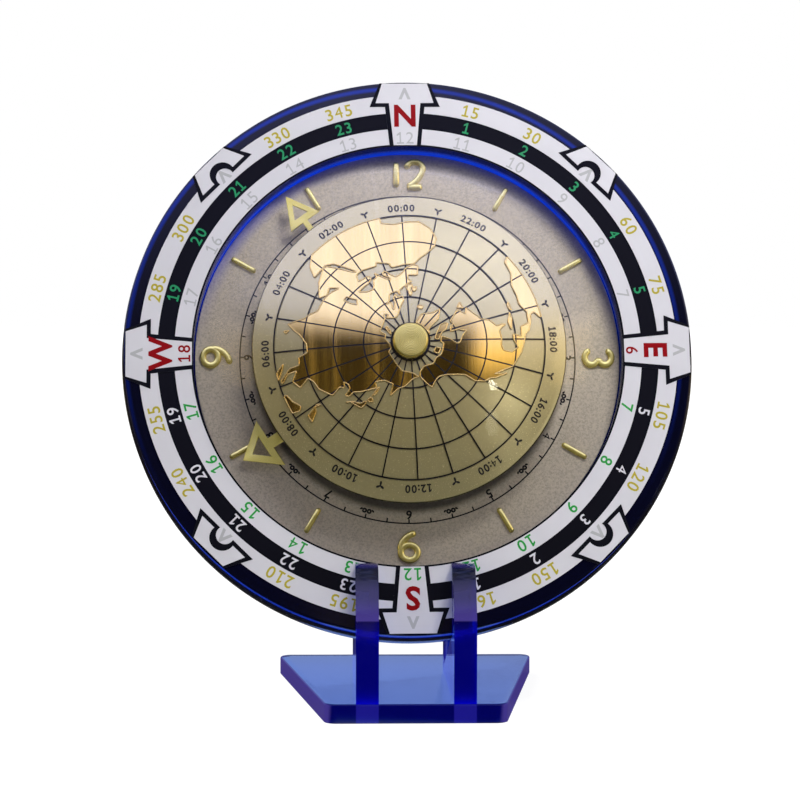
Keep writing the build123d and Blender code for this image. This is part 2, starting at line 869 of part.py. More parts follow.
def coil_disc(start, length, outer):
    """A round length of the coil along its core."""
    with BuildSketch(SIDE.offset(start)) as disc:
        with Locations((coil_axis, core_level)):
            Circle(outer)
    extrude(disc.sketch, amount=length)


with BuildPart() as coil_bobbin:
    coil_disc(coil_start, coil_length, bobbin_radius)
    coil_disc(coil_start - coil_flange / 2, coil_flange, coil_radius)
    coil_disc(coil_end - coil_flange / 2, coil_flange, coil_radius)
    with BuildSketch(SIDE.offset(coil_start - coil_flange)):
        with Locations((coil_axis, core_level)):
            Rectangle(core_width + 2 * close_gap, plate_thickness + 2 * close_gap)
    extrude(amount=coil_length + 2 * coil_flange, mode=Mode.SUBTRACT)
save(coil_bobbin, "coil_bobbin")

with BuildPart() as coil_winding:
    with BuildSketch(SIDE.offset(coil_start + coil_flange / 2 + close_gap)):
        with Locations((coil_axis, core_level)):
            Circle(coil_radius - slot_gap)
            Circle(bobbin_radius + close_gap, mode=Mode.SUBTRACT)
    extrude(amount=coil_length - coil_flange - 2 * close_gap)
save(coil_winding, "coil_winding")

# Minute arbor: tube over the world arbor, with the centre wheel and the minute pinion
minute_bore = world_arbor_radius + tube_gap
minute_tube_top = minute_hand_height + hand_thickness + tube_stand
with BuildPart() as minute_arbor:
    rod(minute_tube_radius, centre_level, minute_tube_top)
    toothed(minute_pinion_teeth, motion_module, 0, (0, 0), motion_level - level_gap / 2, wheel_face + level_gap)
    toothed(centre_wheel_teeth, train_module, 0, (0, 0), centre_level)
    rod(minute_bore, centre_level, minute_tube_top, mode=Mode.SUBTRACT)
save(minute_arbor, "minute_arbor")

hour_bore = minute_tube_radius + tube_gap
hour_tube_top = hour_hand_height + hand_thickness + tube_stand
with BuildPart() as hour_wheel:
    rod(hour_tube_radius, hour_level, hour_tube_top)
    toothed(hour_wheel_teeth, motion_module, hour_turn, (0, 0), hour_level)
    rod(hour_bore, hour_level, hour_tube_top, mode=Mode.SUBTRACT)
save(hour_wheel, "hour_wheel")

with BuildPart() as motion_wheel:
    arbor(motion_spot)
    toothed(motion_wheel_teeth, motion_module, motion_turn, motion_spot, motion_level)
    toothed(motion_pinion_teeth, motion_module, 0, motion_spot, hour_level)
    toothed(motion_pinion_teeth, motion_module, 0, motion_spot, intermediate_level)
save(motion_wheel, "motion_wheel")

with BuildPart() as intermediate_wheel:
    arbor(intermediate_spot)
    toothed(intermediate_teeth, motion_module, intermediate_turn, intermediate_spot, intermediate_level)
    toothed(intermediate_pinion_teeth, motion_module, 0, intermediate_spot, world_level)
save(intermediate_wheel, "intermediate_wheel")

with BuildPart() as third_wheel:
    arbor(third_spot)
    toothed(third_pinion_teeth, train_module, third_turn, third_spot, centre_level)
    toothed(third_wheel_teeth, train_module, 0, third_spot, third_level)
save(third_wheel, "third_wheel")

with BuildPart() as fourth_wheel:
    arbor(fourth_spot)
    toothed(fourth_pinion_teeth, train_module, fourth_turn, fourth_spot, third_level)
    toothed(fourth_wheel_teeth, motor_module, 0, fourth_spot, fourth_level)
save(fourth_wheel, "fourth_wheel")

with BuildPart() as rotor:
    arbor(rotor_spot)
    toothed(rotor_pinion_teeth, motor_module, rotor_turn, rotor_spot, fourth_level)
    rod(rotor_radius, core_level - rotor_length / 2, core_level + rotor_length / 2, rotor_spot)
save(rotor, "rotor")

# Setting arbor and knob at the back
setting_end = cover_back - slot_gap
with BuildPart() as setting_arbor:
    rod(pivot_radius, case_inside - slot_gap, case_inside + pivot_length, setting_spot)
    rod(arbor_radius * 2, setting_end - setting_knob_height / 2, case_inside - slot_gap, setting_spot)
    toothed(setting_pinion_teeth, motion_module, setting_turn, setting_spot, motion_level)
save(setting_arbor, "setting_arbor")

with BuildPart() as setting_knob:
    rod(setting_knob_radius, setting_end - setting_knob_height, setting_end, setting_spot)
    with BuildSketch(level(setting_end - setting_knob_height)):
        with Locations(setting_spot):
            with PolarLocations(setting_knob_radius, knob_grips):
                Circle(setting_knob_radius * knob_grip_share)
    extrude(amount=setting_knob_height, mode=Mode.SUBTRACT)
    rod(arbor_radius * 2, setting_end - setting_knob_height / 2, setting_end, setting_spot, Mode.SUBTRACT)
save(setting_knob, "setting_knob")


# Hands with pierced arrow heads
def hand(bottom, angle, tip, length, width, stem, boss, bore):
    """A hand: boss, straight stem and an arrow head with a three-cornered hole."""
    foot = tip - length
    with BuildSketch(turned(bottom, angle)) as outline:
        Circle(boss)
        with Locations((0, (foot + head_lap) / 2)):
            Rectangle(stem, foot + head_lap)
        with BuildLine():
            Polyline((-width / 2, foot), (width / 2, foot), (0, tip), close=True)
        make_face()
        hole_foot = foot + length * (1 - head_hole_share) * head_hole_seat
        hole = head_hole_share
        with BuildLine():
            Polyline(
                (-width * hole / 2, hole_foot),
                (width * hole / 2, hole_foot),
                (0, hole_foot + length * hole),
                close=True,
            )
        make_face(mode=Mode.SUBTRACT)
        Circle(bore, mode=Mode.SUBTRACT)
    extrude(outline.sketch, amount=hand_thickness)


with BuildPart() as hour_hand:
    hand(
        hour_hand_height, hour_angle, hour_tip_radius, hour_head_length, hour_head_width,
        hour_stem_width, hour_boss_radius, hour_tube_radius,
    )
save(hour_hand, "hour_hand")

with BuildPart() as minute_hand:
    hand(
        minute_hand_height, minute_angle, minute_tip_radius, minute_head_length, minute_head_width,
        minute_stem_width, minute_boss_radius, minute_tube_radius,
    )
save(minute_hand, "minute_hand")

# World disc: domed plate with a rolled edge
dome_centre = dome_apex - dome_radius
hub_hole = hub_neck_radius + close_gap


def dome_height(radius, lift=0.0):
    """The height of the dome, raised by a lift along its own radius."""
    return dome_centre + sqrt((dome_radius + lift) ** 2 - radius**2)


def shell_section(inner, outer, low, high, roll=0.0):
    """The section of a domed shell between two radii and two lifts, with an edge that may be rolled."""
    middle = (inner + outer) / 2
    Line((inner, dome_height(inner, low)), (inner, dome_height(inner, high)))
    ThreePointArc(
        (inner, dome_height(inner, high)),
        (middle, dome_height(middle, high)),
        (outer, dome_height(outer, high)),
    )
    if roll > 0:
        nose = (outer + roll, dome_height(outer, (low + high) / 2))
        ThreePointArc((outer, dome_height(outer, high)), nose, (outer, dome_height(outer, low)))
    else:
        Line((outer, dome_height(outer, high)), (outer, dome_height(outer, low)))
    ThreePointArc(
        (outer, dome_height(outer, low)),
        (middle, dome_height(middle, low)),
        (inner, dome_height(inner, low)),
    )


with BuildPart() as world_disc:
    with BuildSketch(SECTION):
        with BuildLine():
            shell_section(hub_hole, disc_radius - disc_thickness / 2, -disc_thickness, 0, disc_thickness / 2)
        make_face()
    revolve(axis=HEAD_AXIS)
save(world_disc, "world_disc")

# Coastlines as (east longitude, north latitude) in degrees, trimmed at the equator
AFRICA = (
    (9.5, -4), (9.5, 4), (4, 6.3), (-2, 5), (-7.5, 4.4), (-13, 8.5), (-17, 14.7), (-17, 21), (-13, 27.7),
    (-9.8, 31), (-6, 35.8), (0, 36), (10, 37), (11, 34), (19, 30.3), (20, 32.8), (29, 31), (33.5, 31.4),
    (32.8, 29), (35.5, 24), (37.2, 20.5), (39.5, 15.3), (43, 12), (51, 12), (48, 5), (40, -4),
)
EURASIA = (
    (32.2, 31.2), (33.4, 29.4), (35, 28), (39, 21), (43, 13), (45, 12.8), (52, 16.5), (59.5, 22.5), (56, 26),
    (51.5, 24.5), (48, 30), (54, 27), (58, 25.7), (67, 25), (70, 21), (73, 18), (77, 8), (80, 13), (82, 17),
    (87, 21.5), (92, 22), (94, 16), (98, 15.5), (98.5, 9), (103, 1.5), (104.3, 2), (100.8, 7), (100.5, 13),
    (105, 8.8), (109, 12), (106, 19), (109, 21.5), (114, 22.5), (121.5, 28), (119.5, 35), (122, 37), (118, 39),
    (121.5, 40.5), (125, 39.5), (126.5, 34.5), (129, 36), (128.5, 40), (132, 43), (141, 52), (136, 54.5),
    (143, 59), (155, 59.5), (156.5, 51.5), (163, 58), (170, 60), (180, 65), (190, 66), (180, 69), (160, 69.7),
    (140, 73), (113, 74), (104, 77.5), (80, 73), (70, 73), (67, 68.5), (54, 68.5), (44, 67), (40, 64.5),
    (34, 66.5), (41, 67.5), (28, 71), (20, 70), (12, 65), (5, 61), (6.5, 58), (11, 59), (13, 55.5), (17, 58),
    (17.5, 61.5), (22, 65.7), (24.5, 65), (21.5, 61), (23, 59.9), (29, 60), (24, 59.2), (21, 56), (19, 54.4),
    (11, 54), (8.5, 57), (8.5, 54), (4, 52), (-1.5, 49.5), (-4.5, 48.4), (-1.2, 46), (-1.5, 43.5), (-9, 43.5),
    (-9, 37), (-5.5, 36.2), (-0.5, 38.5), (3, 42), (8.5, 44.3), (12, 42), (16, 38), (18.4, 40), (13.5, 43.8),
    (13.5, 45.6), (19.5, 41.5), (23, 36.6), (23, 40), (26.5, 41), (28, 44), (31, 46.5), (36.5, 45.3),
    (41.5, 41.6), (36, 41.2), (31, 41.2), (27, 39), (28, 36.7), (36, 36.2), (34.5, 31.8),
)
CASPIAN = ((47, 44.5), (51, 46.5), (53, 42), (53.5, 37.3), (50, 37.5), (49, 41))
NORTH_AMERICA = (
    (-168, 65.7), (-162, 60), (-158, 56.5), (-152, 59), (-145, 60.3), (-136, 58), (-130, 54), (-124, 48),
    (-124, 40.5), (-120.5, 34.5), (-117, 32.5), (-115, 29), (-110, 23), (-112, 28), (-113.5, 31), (-109, 26),
    (-105.5, 20.5), (-97, 16), (-92, 14.3), (-87.5, 12.8), (-85.5, 10), (-80, 7.2), (-77, 7), (-77, 8.8),
    (-82, 9.6), (-83.2, 15), (-88.5, 15.9), (-87, 21.3), (-90.5, 21), (-94.5, 18.3), (-97.5, 22.5), (-97, 28),
    (-94, 29.6), (-89.5, 29.3), (-84, 30), (-82.5, 28), (-81, 25.2), (-80.3, 27.5), (-81.3, 31), (-76, 35.3),
    (-74, 40), (-70, 42), (-66, 44), (-60, 46), (-65, 48.5), (-57, 51.5), (-60, 55), (-64.5, 60), (-70, 58.7),
    (-70, 61), (-78, 62.4), (-77, 57), (-79.5, 54.5), (-80, 51.3), (-85, 55.2), (-92.5, 57), (-94.5, 59),
    (-88, 64), (-82, 69), (-92, 70), (-95, 68), (-108, 68), (-115, 68), (-125, 70), (-137, 69), (-156, 71.3),
    (-166, 68.7),
)
SOUTH_AMERICA = (
    (-78.5, 7.6), (-76, 9.2), (-72, 12), (-68, 11), (-62, 10.6), (-57, 6), (-51, 4), (-49, -4), (-81, -4),
    (-80, 1), (-77.3, 4),
)
GREENLAND = (
    (-44, 60), (-40, 65), (-24, 70), (-19, 76), (-12, 81.5), (-58, 82), (-68, 78.5), (-71, 76.3), (-58, 75.5),
    (-54, 70.5), (-53, 66),
)
ISLANDS = (
    ((-5, 50), (1.3, 51.2), (0, 53.5), (-2, 56), (-3, 58.6), (-5.5, 56.5), (-3, 53.5), (-5, 52)),
    ((-6, 52.2), (-6, 54.8), (-8.3, 55.1), (-10, 52)),
    ((-22, 64), (-15, 64.3), (-14.5, 66.2), (-22.5, 66.3)),
    ((130, 31.5), (132, 34), (137, 35), (140.5, 35.5), (141.5, 39.5), (140, 41), (138, 37.3), (133, 35.4)),
    ((140.3, 41.8), (143.3, 42), (145.3, 43.3), (141.8, 45.3)),
    ((142.3, 46.3), (144.2, 49), (143, 54), (141.8, 51.5)),
    ((121, 14.5), (123.5, 13), (126, 7), (122.5, 7.5), (120.3, 16.5), (121.8, 18.5)),
    ((109, -4), (109.5, 2), (113, 3.5), (116.8, 7), (118.5, 5), (117, -4)),
    ((95.5, 5.5), (98, 4.3), (105, -3), (101, -3), (98.5, 1)),
    ((80, 9.5), (81.7, 7.5), (80.5, 6)),
    ((52, 71), (57, 71), (68, 76.8), (58, 75)),
    ((-65, 62), (-62, 66.5), (-72, 71), (-85, 73.7), (-88, 71.4), (-75, 68), (-73, 65)),
    ((-90, 77), (-80, 76.3), (-64, 77.4), (-90, 78.2)),
    ((-116, 70), (-105, 69.4), (-105, 73), (-117, 73)),
    ((-59, 47.7), (-53, 47), (-55.5, 51)),
    ((-84.5, 22), (-80, 23.2), (-74.5, 20.2), (-78, 20)),
    ((-74, 18.3), (-69, 18.3), (-70, 19.8), (-73, 19.9)),
)


def map_point(place):
    """Polar map: the pole at the middle, equal steps of latitude, east running anticlockwise."""
    longitude, latitude = place
    return dial_point(equator_radius * (1 - latitude / right_angle), -longitude + map_turn)


def coast(places, mode=Mode.ADD):
    """One closed coastline as a face of the map."""
    with BuildLine() as shore:
        Polyline(*[map_point(place) for place in places], close=True)
    make_face(shore.edges(), mode=mode)


with BuildPart() as landmass_relief:
    with BuildSketch(SECTION):
        with BuildLine():
            shell_section(washer_radius + slot_gap, equator_radius, 0, land_height)
        make_face()
    revolve(axis=HEAD_AXIS)
    with BuildSketch(level(0)):
        for outline in (AFRICA, EURASIA, NORTH_AMERICA, SOUTH_AMERICA, GREENLAND):
            coast(outline)
        coast(CASPIAN, Mode.SUBTRACT)
        for outline in ISLANDS:
            coast(outline)
    extrude(amount=dome_apex + 2 * land_height, mode=Mode.INTERSECT)
save(landmass_relief, "landmass_relief")

# World arbor, its hub under the dome, and the knob with its washer
hub_top = dome_height(hub_radius, -disc_thickness)
knob_bottom = dome_apex + washer_height
neck_top = knob_bottom + knob_height * neck_share
with BuildPart() as world_hub:
    rod(hub_radius, hub_top - hub_height, hub_top)
    rod(hub_neck_radius, hub_top, neck_top)
    rod(world_arbor_radius, hub_top - hub_height, hub_top - hub_roof, mode=Mode.SUBTRACT)
save(world_hub, "world_hub")

with BuildPart() as world_arbor:
    rod(world_arbor_radius, case_back - pivot_length, hub_top - hub_roof)
save(world_arbor, "world_arbor")

with BuildPart() as world_wheel:
    toothed(world_wheel_teeth, motion_module, world_turn, (0, 0), world_level)
    rod(world_arbor_radius, world_level, world_level + wheel_face, mode=Mode.SUBTRACT)
save(world_wheel, "world_wheel")

with BuildPart() as knob_washer:
    ring(hub_hole, washer_radius, dome_apex, knob_bottom)
save(knob_washer, "knob_washer")

with BuildPart() as centre_knob:
    rod(knob_radius, knob_bottom, knob_bottom + knob_height)
    chamfer(centre_knob.edges().filter_by(GeomType.CIRCLE).sort_by(HEAD_AXIS)[-1], knob_bevel)
    rod(hub_hole, knob_bottom, neck_top + close_gap, mode=Mode.SUBTRACT)
save(centre_knob, "centre_knob")
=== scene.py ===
"""The looks of a world time clock: a compass bezel, a domed world disc and a blue slotted stand.

Sizes in the code are millimetres on the head: right, up the dial, and out from the bezel's front.
"""

import json
from math import cos, pi, radians, sin

import bmesh
import bpy
import numpy as np
from bpy.props import FloatProperty, FloatVectorProperty, PointerProperty
from mathutils import Matrix, Vector

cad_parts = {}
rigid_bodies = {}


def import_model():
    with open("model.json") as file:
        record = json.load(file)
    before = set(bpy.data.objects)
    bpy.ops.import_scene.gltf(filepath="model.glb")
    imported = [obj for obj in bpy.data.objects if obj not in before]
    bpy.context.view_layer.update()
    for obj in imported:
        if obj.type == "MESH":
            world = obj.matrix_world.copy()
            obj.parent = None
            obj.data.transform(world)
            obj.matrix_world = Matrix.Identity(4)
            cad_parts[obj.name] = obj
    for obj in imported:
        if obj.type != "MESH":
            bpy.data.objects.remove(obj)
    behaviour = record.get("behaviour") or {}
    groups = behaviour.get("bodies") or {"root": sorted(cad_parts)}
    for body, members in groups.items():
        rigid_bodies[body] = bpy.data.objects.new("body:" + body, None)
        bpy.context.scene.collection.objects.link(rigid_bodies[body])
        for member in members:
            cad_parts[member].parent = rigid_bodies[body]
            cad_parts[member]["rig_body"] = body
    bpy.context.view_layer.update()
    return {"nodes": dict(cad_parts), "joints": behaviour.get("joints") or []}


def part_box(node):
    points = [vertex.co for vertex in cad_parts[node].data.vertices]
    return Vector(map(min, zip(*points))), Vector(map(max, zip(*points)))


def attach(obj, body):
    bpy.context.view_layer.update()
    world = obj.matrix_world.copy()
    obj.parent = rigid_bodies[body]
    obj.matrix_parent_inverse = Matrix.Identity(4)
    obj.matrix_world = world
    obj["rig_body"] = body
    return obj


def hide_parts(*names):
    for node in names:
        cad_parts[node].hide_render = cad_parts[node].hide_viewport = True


bl_info = {
    "name": "World Time Clock",
    "version": (1, 0, 0),
    "blender": (4, 5, 0),
    "location": "View3D > Sidebar > Clock",
    "description": "Builds the visible pieces of a world time clock on its fixed frame",
    "category": "Object",
}

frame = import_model()
MM = 0.001
LATHE_STEPS = 240

# The head's own directions, from the axis on which the world disc turns
DISC_JOINT = next(joint for joint in frame["joints"] if joint["name"] == "world_turn")
HEAD = np.array(DISC_JOINT["pos_m"])
OUT = np.array(DISC_JOINT["axis"]) / np.linalg.norm(DISC_JOINT["axis"])
RIGHT = np.array((1.0, 0.0, 0.0))
UP = np.cross(OUT, RIGHT)

# Levels and radii that the pieces share with the solids
BEZEL = 90.0
OPENING = 68.15
POST_HOLE = 4.2
DIAL_TOP = -7.75
DIAL_BACK = -8.75
DIAL_RADIUS = 67.9
FILM_INNER = 68.4
FILM_OUTER = 85.4
BAND_INNER = 74.0
BAND_OUTER = 79.4
BAND_TOP = 0.15
FILM_TOP = 0.3
MARK_TOP = 0.45
WING = 82.7
CRYSTAL = 68.1
CRYSTAL_WALL = 2.0
CRYSTAL_RISE = 20.5
DOME_APEX = 13.9
DOME_RADIUS = 160.0
DOME_MIDDLE = HEAD + OUT * (DOME_APEX - DOME_RADIUS) * MM
DISC_RADIUS = 49.5
DISC_WALL = 1.2
DISC_HOLE = 1.55
LAND_RISE = 0.3
EQUATOR = 42.543
PRIME = -3.0
REST = -0.5
WASHER = 6.2
WASHER_TOP = 14.4
FOOT_SINK = 0.12

# Radii on which the figures, signs and markers stand
BEARING_LINE = 82.35
LETTER_LINE = 78.4
HOUR_LINE = 76.7
INNER_LINE = 71.1
ARROW_LINE = 70.9
MARKER_LINE = 61.0
SCROLL_LINE = 51.3
SMALL_HOUR_LINE = 50.9
ZONE_LINE = 45.3
SIGN_LINE = 45.2


def length(label, text, millimetres):
    """A length property, kept in metres and given in millimetres."""
    return FloatProperty(
        name=label, description=text, default=millimetres * MM, min=0.0,
        subtype="DISTANCE", unit="LENGTH", precision=5,
    )


def tint(label, text, red, green, blue):
    """A colour property in linear light."""
    return FloatVectorProperty(
        name=label, description=text, default=(red, green, blue), min=0.0, max=1.0, size=3,
        subtype="COLOR",
    )


def light_level(label, text, value, unit="POWER"):
    """A level of light, a lamp's power unless it has no unit."""
    return FloatProperty(name=label, description=text, default=value, min=0.0, unit=unit)


class ClockSizes(bpy.types.PropertyGroup):
    """Sizes of the printed and applied details."""

    bearing_height: length("Bearing figures", "Height of the degree figures on the outer scale", 4.0)
    hour_height: length("Hour figures", "Height of the figures on the dark band", 3.7)
    inner_height: length("Inner figures", "Height of the figures on the inner scale", 3.9)
    letter_height: length("Compass letters", "Height of the four compass letters", 7.7)
    outline: length("Outline", "Width of the dark outline of the arrows and marks", 1.3)
    track_radius: length("Track", "Radius of the dial's printed track", 53.6)
    zone_height: length("Zone figures", "Height of the figures at the disc's edge", 2.5)
    grid_width: length("Grid lines", "Width of the map's grid lines", 0.42)
    numeral_width: length("Numeral width", "Width of the strokes of the applied numerals", 2.05)
    marker_width: length("Marker width", "Width of the applied batons", 1.65)
    marker_height: length("Marker height", "Height of the applied numerals and batons", 1.2)
    hand_bevel: length("Hand bevel", "Softened edge of the hands", 0.18)
    sheet_bevel: length("Sheet bevel", "Polished edge of the stand's sheets", 0.3)


class ClockColours(bpy.types.PropertyGroup):
    """Colours of the finishes."""

    scale_white: tint("Scale white", "Pale print of the scales", 0.71, 0.695, 0.735)
    scale_black: tint("Scale black", "Dark print of the band and outlines", 0.002, 0.002, 0.003)
    bearing: tint("Bearing yellow", "Degree figures", 0.46, 0.38, 0.015)
    hour_green: tint("Hour green", "Hour figures of the upper half", 0.008, 0.28, 0.09)
    inner_green: tint("Inner green", "Inner figures of the lower half", 0.008, 0.31, 0.035)
    inner_grey: tint("Inner grey", "Inner figures of the upper half", 0.47, 0.47, 0.48)
    letter_red: tint("Letter red", "Compass letters", 0.27, 0.002, 0.004)
    dial: tint("Dial", "Grained dial plate", 0.64, 0.545, 0.395)
    sea: tint("Sea", "Satin world disc", 0.60, 0.51, 0.24)
    gold: tint("Gold", "Applied markers and hands", 1.0, 0.81, 0.22)
    land: tint("Land", "Polished land", 0.84, 0.60, 0.19)
    brass: tint("Brass", "Turned knob", 0.82, 0.67, 0.17)
    absorb: tint("Sheet blue", "Light that the blue sheet lets through", 0.0, 0.30, 0.80)


class ClockStage(bpy.types.PropertyGroup):
    """Levels of the studio light."""

    key: light_level("Key", "Power of the overhead panel", 1.8)
    side: light_level("Side", "Power of each side panel", 1.1)
    back: light_level("Back", "Power of the panel behind", 8.0)
    spark: light_level("Spark", "Power of the small lamp", 0.3)
    fill: light_level("Fill", "Strength of the room's light", 0.15, "NONE")


# Shader maths


class Field:
    """A socket of a finish; arithmetic on fields adds Math nodes."""

    def __init__(self, finish, socket):
        self.finish = finish
        self.socket = socket

    def math(self, operation, first, second):
        """One Math node on two values or fields."""
        return self.finish.node("ShaderNodeMath", {"operation": operation}, {0: first, 1: second})

    def __add__(self, other):
        return self.math("ADD", self, other)

    def __radd__(self, other):
        return self.math("ADD", other, self)

    def __sub__(self, other):
        return self.math("SUBTRACT", self, other)

    def __rsub__(self, other):
        return self.math("SUBTRACT", other, self)

    def __mul__(self, other):
        return self.math("MULTIPLY", self, other)

    def __rmul__(self, other):
        return self.math("MULTIPLY", other, self)

    def __truediv__(self, other):
        return self.math("DIVIDE", self, other)

    def __pow__(self, other):
        return self.math("POWER", self, other)

    def __abs__(self):
        return self.math("ABSOLUTE", self, 0.0)


class Finish:
    """A material under construction; every node comes from one method."""

    def __init__(self, name, tree=None):
        if tree is None:
            self.material = bpy.data.materials.new(name)
            self.material.use_nodes = True
            tree = self.material.node_tree
        tree.nodes.clear()
        self.tree = tree

    def node(self, kind, settings=None, sockets=None, output=0):
        """Add a node of a kind, apply its settings, then feed its sockets with values or fields."""
        made = self.tree.nodes.new(kind)
        for key, value in (settings or {}).items():
            setattr(made, key, value)
        for key, value in (sockets or {}).items():
            if isinstance(value, Field):
                self.tree.links.new(value.socket, made.inputs[key])
            else:
                made.inputs[key].default_value = value
        return Field(self, made.outputs[output] if len(made.outputs) else None)

    def place(self, scale=(1.0, 1.0, 1.0)):
        """Object coordinates turned into the head's own directions, in metres, then scaled."""
        coordinates = self.node("ShaderNodeTexCoord", output=3)
        turn = Matrix((RIGHT, UP, OUT))
        seated = self.node(
            "ShaderNodeMapping", None,
            {0: coordinates, 1: -(turn @ Vector(HEAD)), 2: turn.to_euler()},
        )
        return self.node("ShaderNodeMapping", None, {0: seated, 3: scale})

    def split(self, vector):
        """The three parts of a vector as single fields."""
        outputs = self.node("ShaderNodeSeparateXYZ", None, {0: vector}).socket.node.outputs
        return [Field(self, outputs[axis]) for axis in range(3)]

    def axes(self):
        """The three head coordinates, in metres, as single fields."""
        return self.split(self.place())

    def polar(self):
        """The three head coordinates and the distance from the head's axis, in metres."""
        right, up, out = self.axes()
        return right, up, out, (right * right + up * up) ** 0.5

    def ramp(self, value, low, high, first=0.0, last=1.0):
        """A smooth step of a value, from one level at the low end to another at the high end."""
        return self.node(
            "ShaderNodeMapRange", {"interpolation_type": "SMOOTHSTEP"},
            {0: value, 1: low, 2: high, 3: first, 4: last},
        )

    def noise(self, scale, detail=3.0, stretch=(1.0, 1.0, 1.0), roughness=0.55):
        """Fractal noise from 0 to 1 on the head's directions."""
        return self.node(
            "ShaderNodeTexNoise", None,
            {"Vector": self.place(stretch), "Scale": scale, "Detail": detail, "Roughness": roughness},
        )

    def mix(self, share, first, second):
        """A colour between two colours."""
        first = first if isinstance(first, Field) else (*first, 1.0)
        second = second if isinstance(second, Field) else (*second, 1.0)
        return self.node("ShaderNodeMix", {"data_type": "RGBA"}, {0: share, 6: first, 7: second}, output=2)

    def vary(self, pattern, colour, dark, light):
        """A colour that a pattern takes from a darker to a lighter shade of it."""
        return self.mix(pattern, shade(colour, dark), shade(colour, light))

    def bump(self, height, strength, distance):
        """A bump normal from a height field."""
        return self.node(
            "ShaderNodeBump", None, {"Height": height, "Strength": strength, "Distance": distance},
        )

    def close(self, shader, volume=None):
        """Join the surface, and a volume if there is one, to the output."""
        sockets = {"Surface": shader}
        if volume is not None:
            sockets["Volume"] = volume
        self.node("ShaderNodeOutputMaterial", None, sockets)
        return self.material

    def principled(self, **sockets):
        """The main shader; keys are its socket names with spaces as underscores."""
        named = {key.replace("_", " "): value for key, value in sockets.items()}
        return self.node("ShaderNodeBsdfPrincipled", None, named)


def shade(colour, factor):
    """A colour made darker or lighter."""
    return tuple(min(1.0, channel * factor) for channel in colour)


FINISHES = {}


def finish(name, maker, *values):
    """The named finish, made once."""
    if name not in FINISHES:
        FINISHES[name] = maker(name, *values)
    return FINISHES[name]


def base_edges(made, painted_glow, right, normal):
    """The base's edges, in painted light: a painted glow of the arms' light shows in the front one under each
    arm, and those that look sideways get a painted violet glow. Gives the painted glow, and the share of a
    painted dark sheet on the faces that look away from the sheet's middle: where the normal's product with
    the way from the middle is well above zero."""
    sideways, forward, _ = made.split(normal)
    # Painted glow on the front edge under each arm, and painted violet glow on the edges that look sideways
    low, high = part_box("stand_arm_right")
    off = abs(abs(right + HEAD[0]) - (low.x + high.x) / 2.0) / (high.x - low.x)
    painted_glow_under_arms = made.ramp(off, 0.46, 0.53, 1.0, 0.0) * made.ramp(forward, -0.85, -0.6, 1.0, 0.0)
    painted_glow = made.mix(painted_glow_under_arms, painted_glow, (0.01, 0.008, 0.19))
    painted_glow = made.mix(made.ramp(abs(sideways), 0.3, 0.7), painted_glow, (0.05, 0.034, 0.2))
    # Share of the painted dark sheet that stands in for the edges' shade: the faces that look away from the
    # middle
    low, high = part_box("stand_base")
    middle = (-(low.x + high.x) / 2.0, -(low.y + high.y) / 2.0, 0.0)
    coordinates = made.node("ShaderNodeTexCoord", output=3)
    way = made.node("ShaderNodeMapping", None, {0: coordinates, 1: middle, 3: (1.0, 1.0, 0.0)})
    away = made.node("ShaderNodeVectorMath", {"operation": "DOT_PRODUCT"}, {0: normal, 1: way}, output=1)
    return painted_glow, made.ramp(away, 0.008, 0.025, 0.0, 0.93)


def arm_lips(made, up, out, normal):
    """The front of the arms' lips, in painted light: a painted glow that is violet at the foot, grey above it
    and blue at the crest, with painted shade near the top. Gives the painted glow and the share of a painted
    dark sheet over the clear sheet."""
    forward = made.split(normal)[1]
    # Painted glow in bands by height up the lips' front, with painted shade near the top
    painted_glow = made.mix(made.ramp(up, -0.0865, -0.0785), (0.065, 0.045, 0.26), (0.04, 0.034, 0.11))
    painted_glow = made.mix(made.ramp(up, -0.0785, -0.0715), painted_glow, (0.009, 0.011, 0.02))
    painted_glow = made.mix(made.ramp(up, -0.0705, -0.0685), painted_glow, (0.006, 0.004, 0.13))
    # Share of the painted dark sheet on the lips' front face
    front = made.ramp(forward, -0.25, 0.0, 1.0, 0.0) * made.ramp(out, 0.001, 0.002)
    return painted_glow, front * made.ramp(up, -0.0872, -0.0866, 0.0, 0.85)


def blue_sheet(name, colours, depth, glow, is_base):
    """Clear blue sheet: refracting, with light lost along its path, a painted even glow in place of the light
    that gathers in it, and faint handling marks in the gloss. The painted glow fades towards the lips. The
    base's edges and the lips' front get a painted dark sheet, with painted glow on it, for their shade; it
    lets little through."""
    made = Finish(name)
    right, up, out = made.axes()
    normal = made.node("ShaderNodeTexCoord", output=1)
    # Painted glow in place of the light that gathers in the sheet, fading towards the lips
    painted_glow = made.mix(made.ramp(up, -0.094, -0.084, 1.0, 0.12), (0.0, 0.0, 0.0), (0.0, 0.0, glow))
    if is_base:
        painted_glow, share = base_edges(made, painted_glow, right, normal)
        # Base's edges: painted glow over a dark navy base colour that is painted shade
        edge, body = painted_glow, (0.001, 0.001, 0.05, 1.0)
    else:
        edge, share = arm_lips(made, up, out, normal)
        # Lips' front: a near-black base colour under the painted glow, as painted shade
        body = (0.002, 0.002, 0.004, 1.0)
    marks = made.noise(90.0, 4.0)
    clear = made.principled(
        Base_Color=(1.0, 1.0, 1.0, 1.0), Roughness=0.015 + 0.03 * marks, IOR=1.49, Transmission_Weight=1.0,
        Specular_IOR_Level=0.08, Emission_Color=painted_glow, Emission_Strength=1.0,
    )
    # Painted dark sheet for the shade of the base's edges and the lips' front
    painted_dark_sheet = made.principled(
        Base_Color=body, Roughness=0.06 + 0.03 * marks, Specular_IOR_Level=0.08, Emission_Color=edge,
        Emission_Strength=1.0,
    )
    shader = made.node("ShaderNodeMixShader", None, {0: share, 1: clear, 2: painted_dark_sheet})
    volume = made.node("ShaderNodeVolumeAbsorption", None, {0: (*colours.absorb, 1.0), 1: depth})
    return made.close(shader, volume)


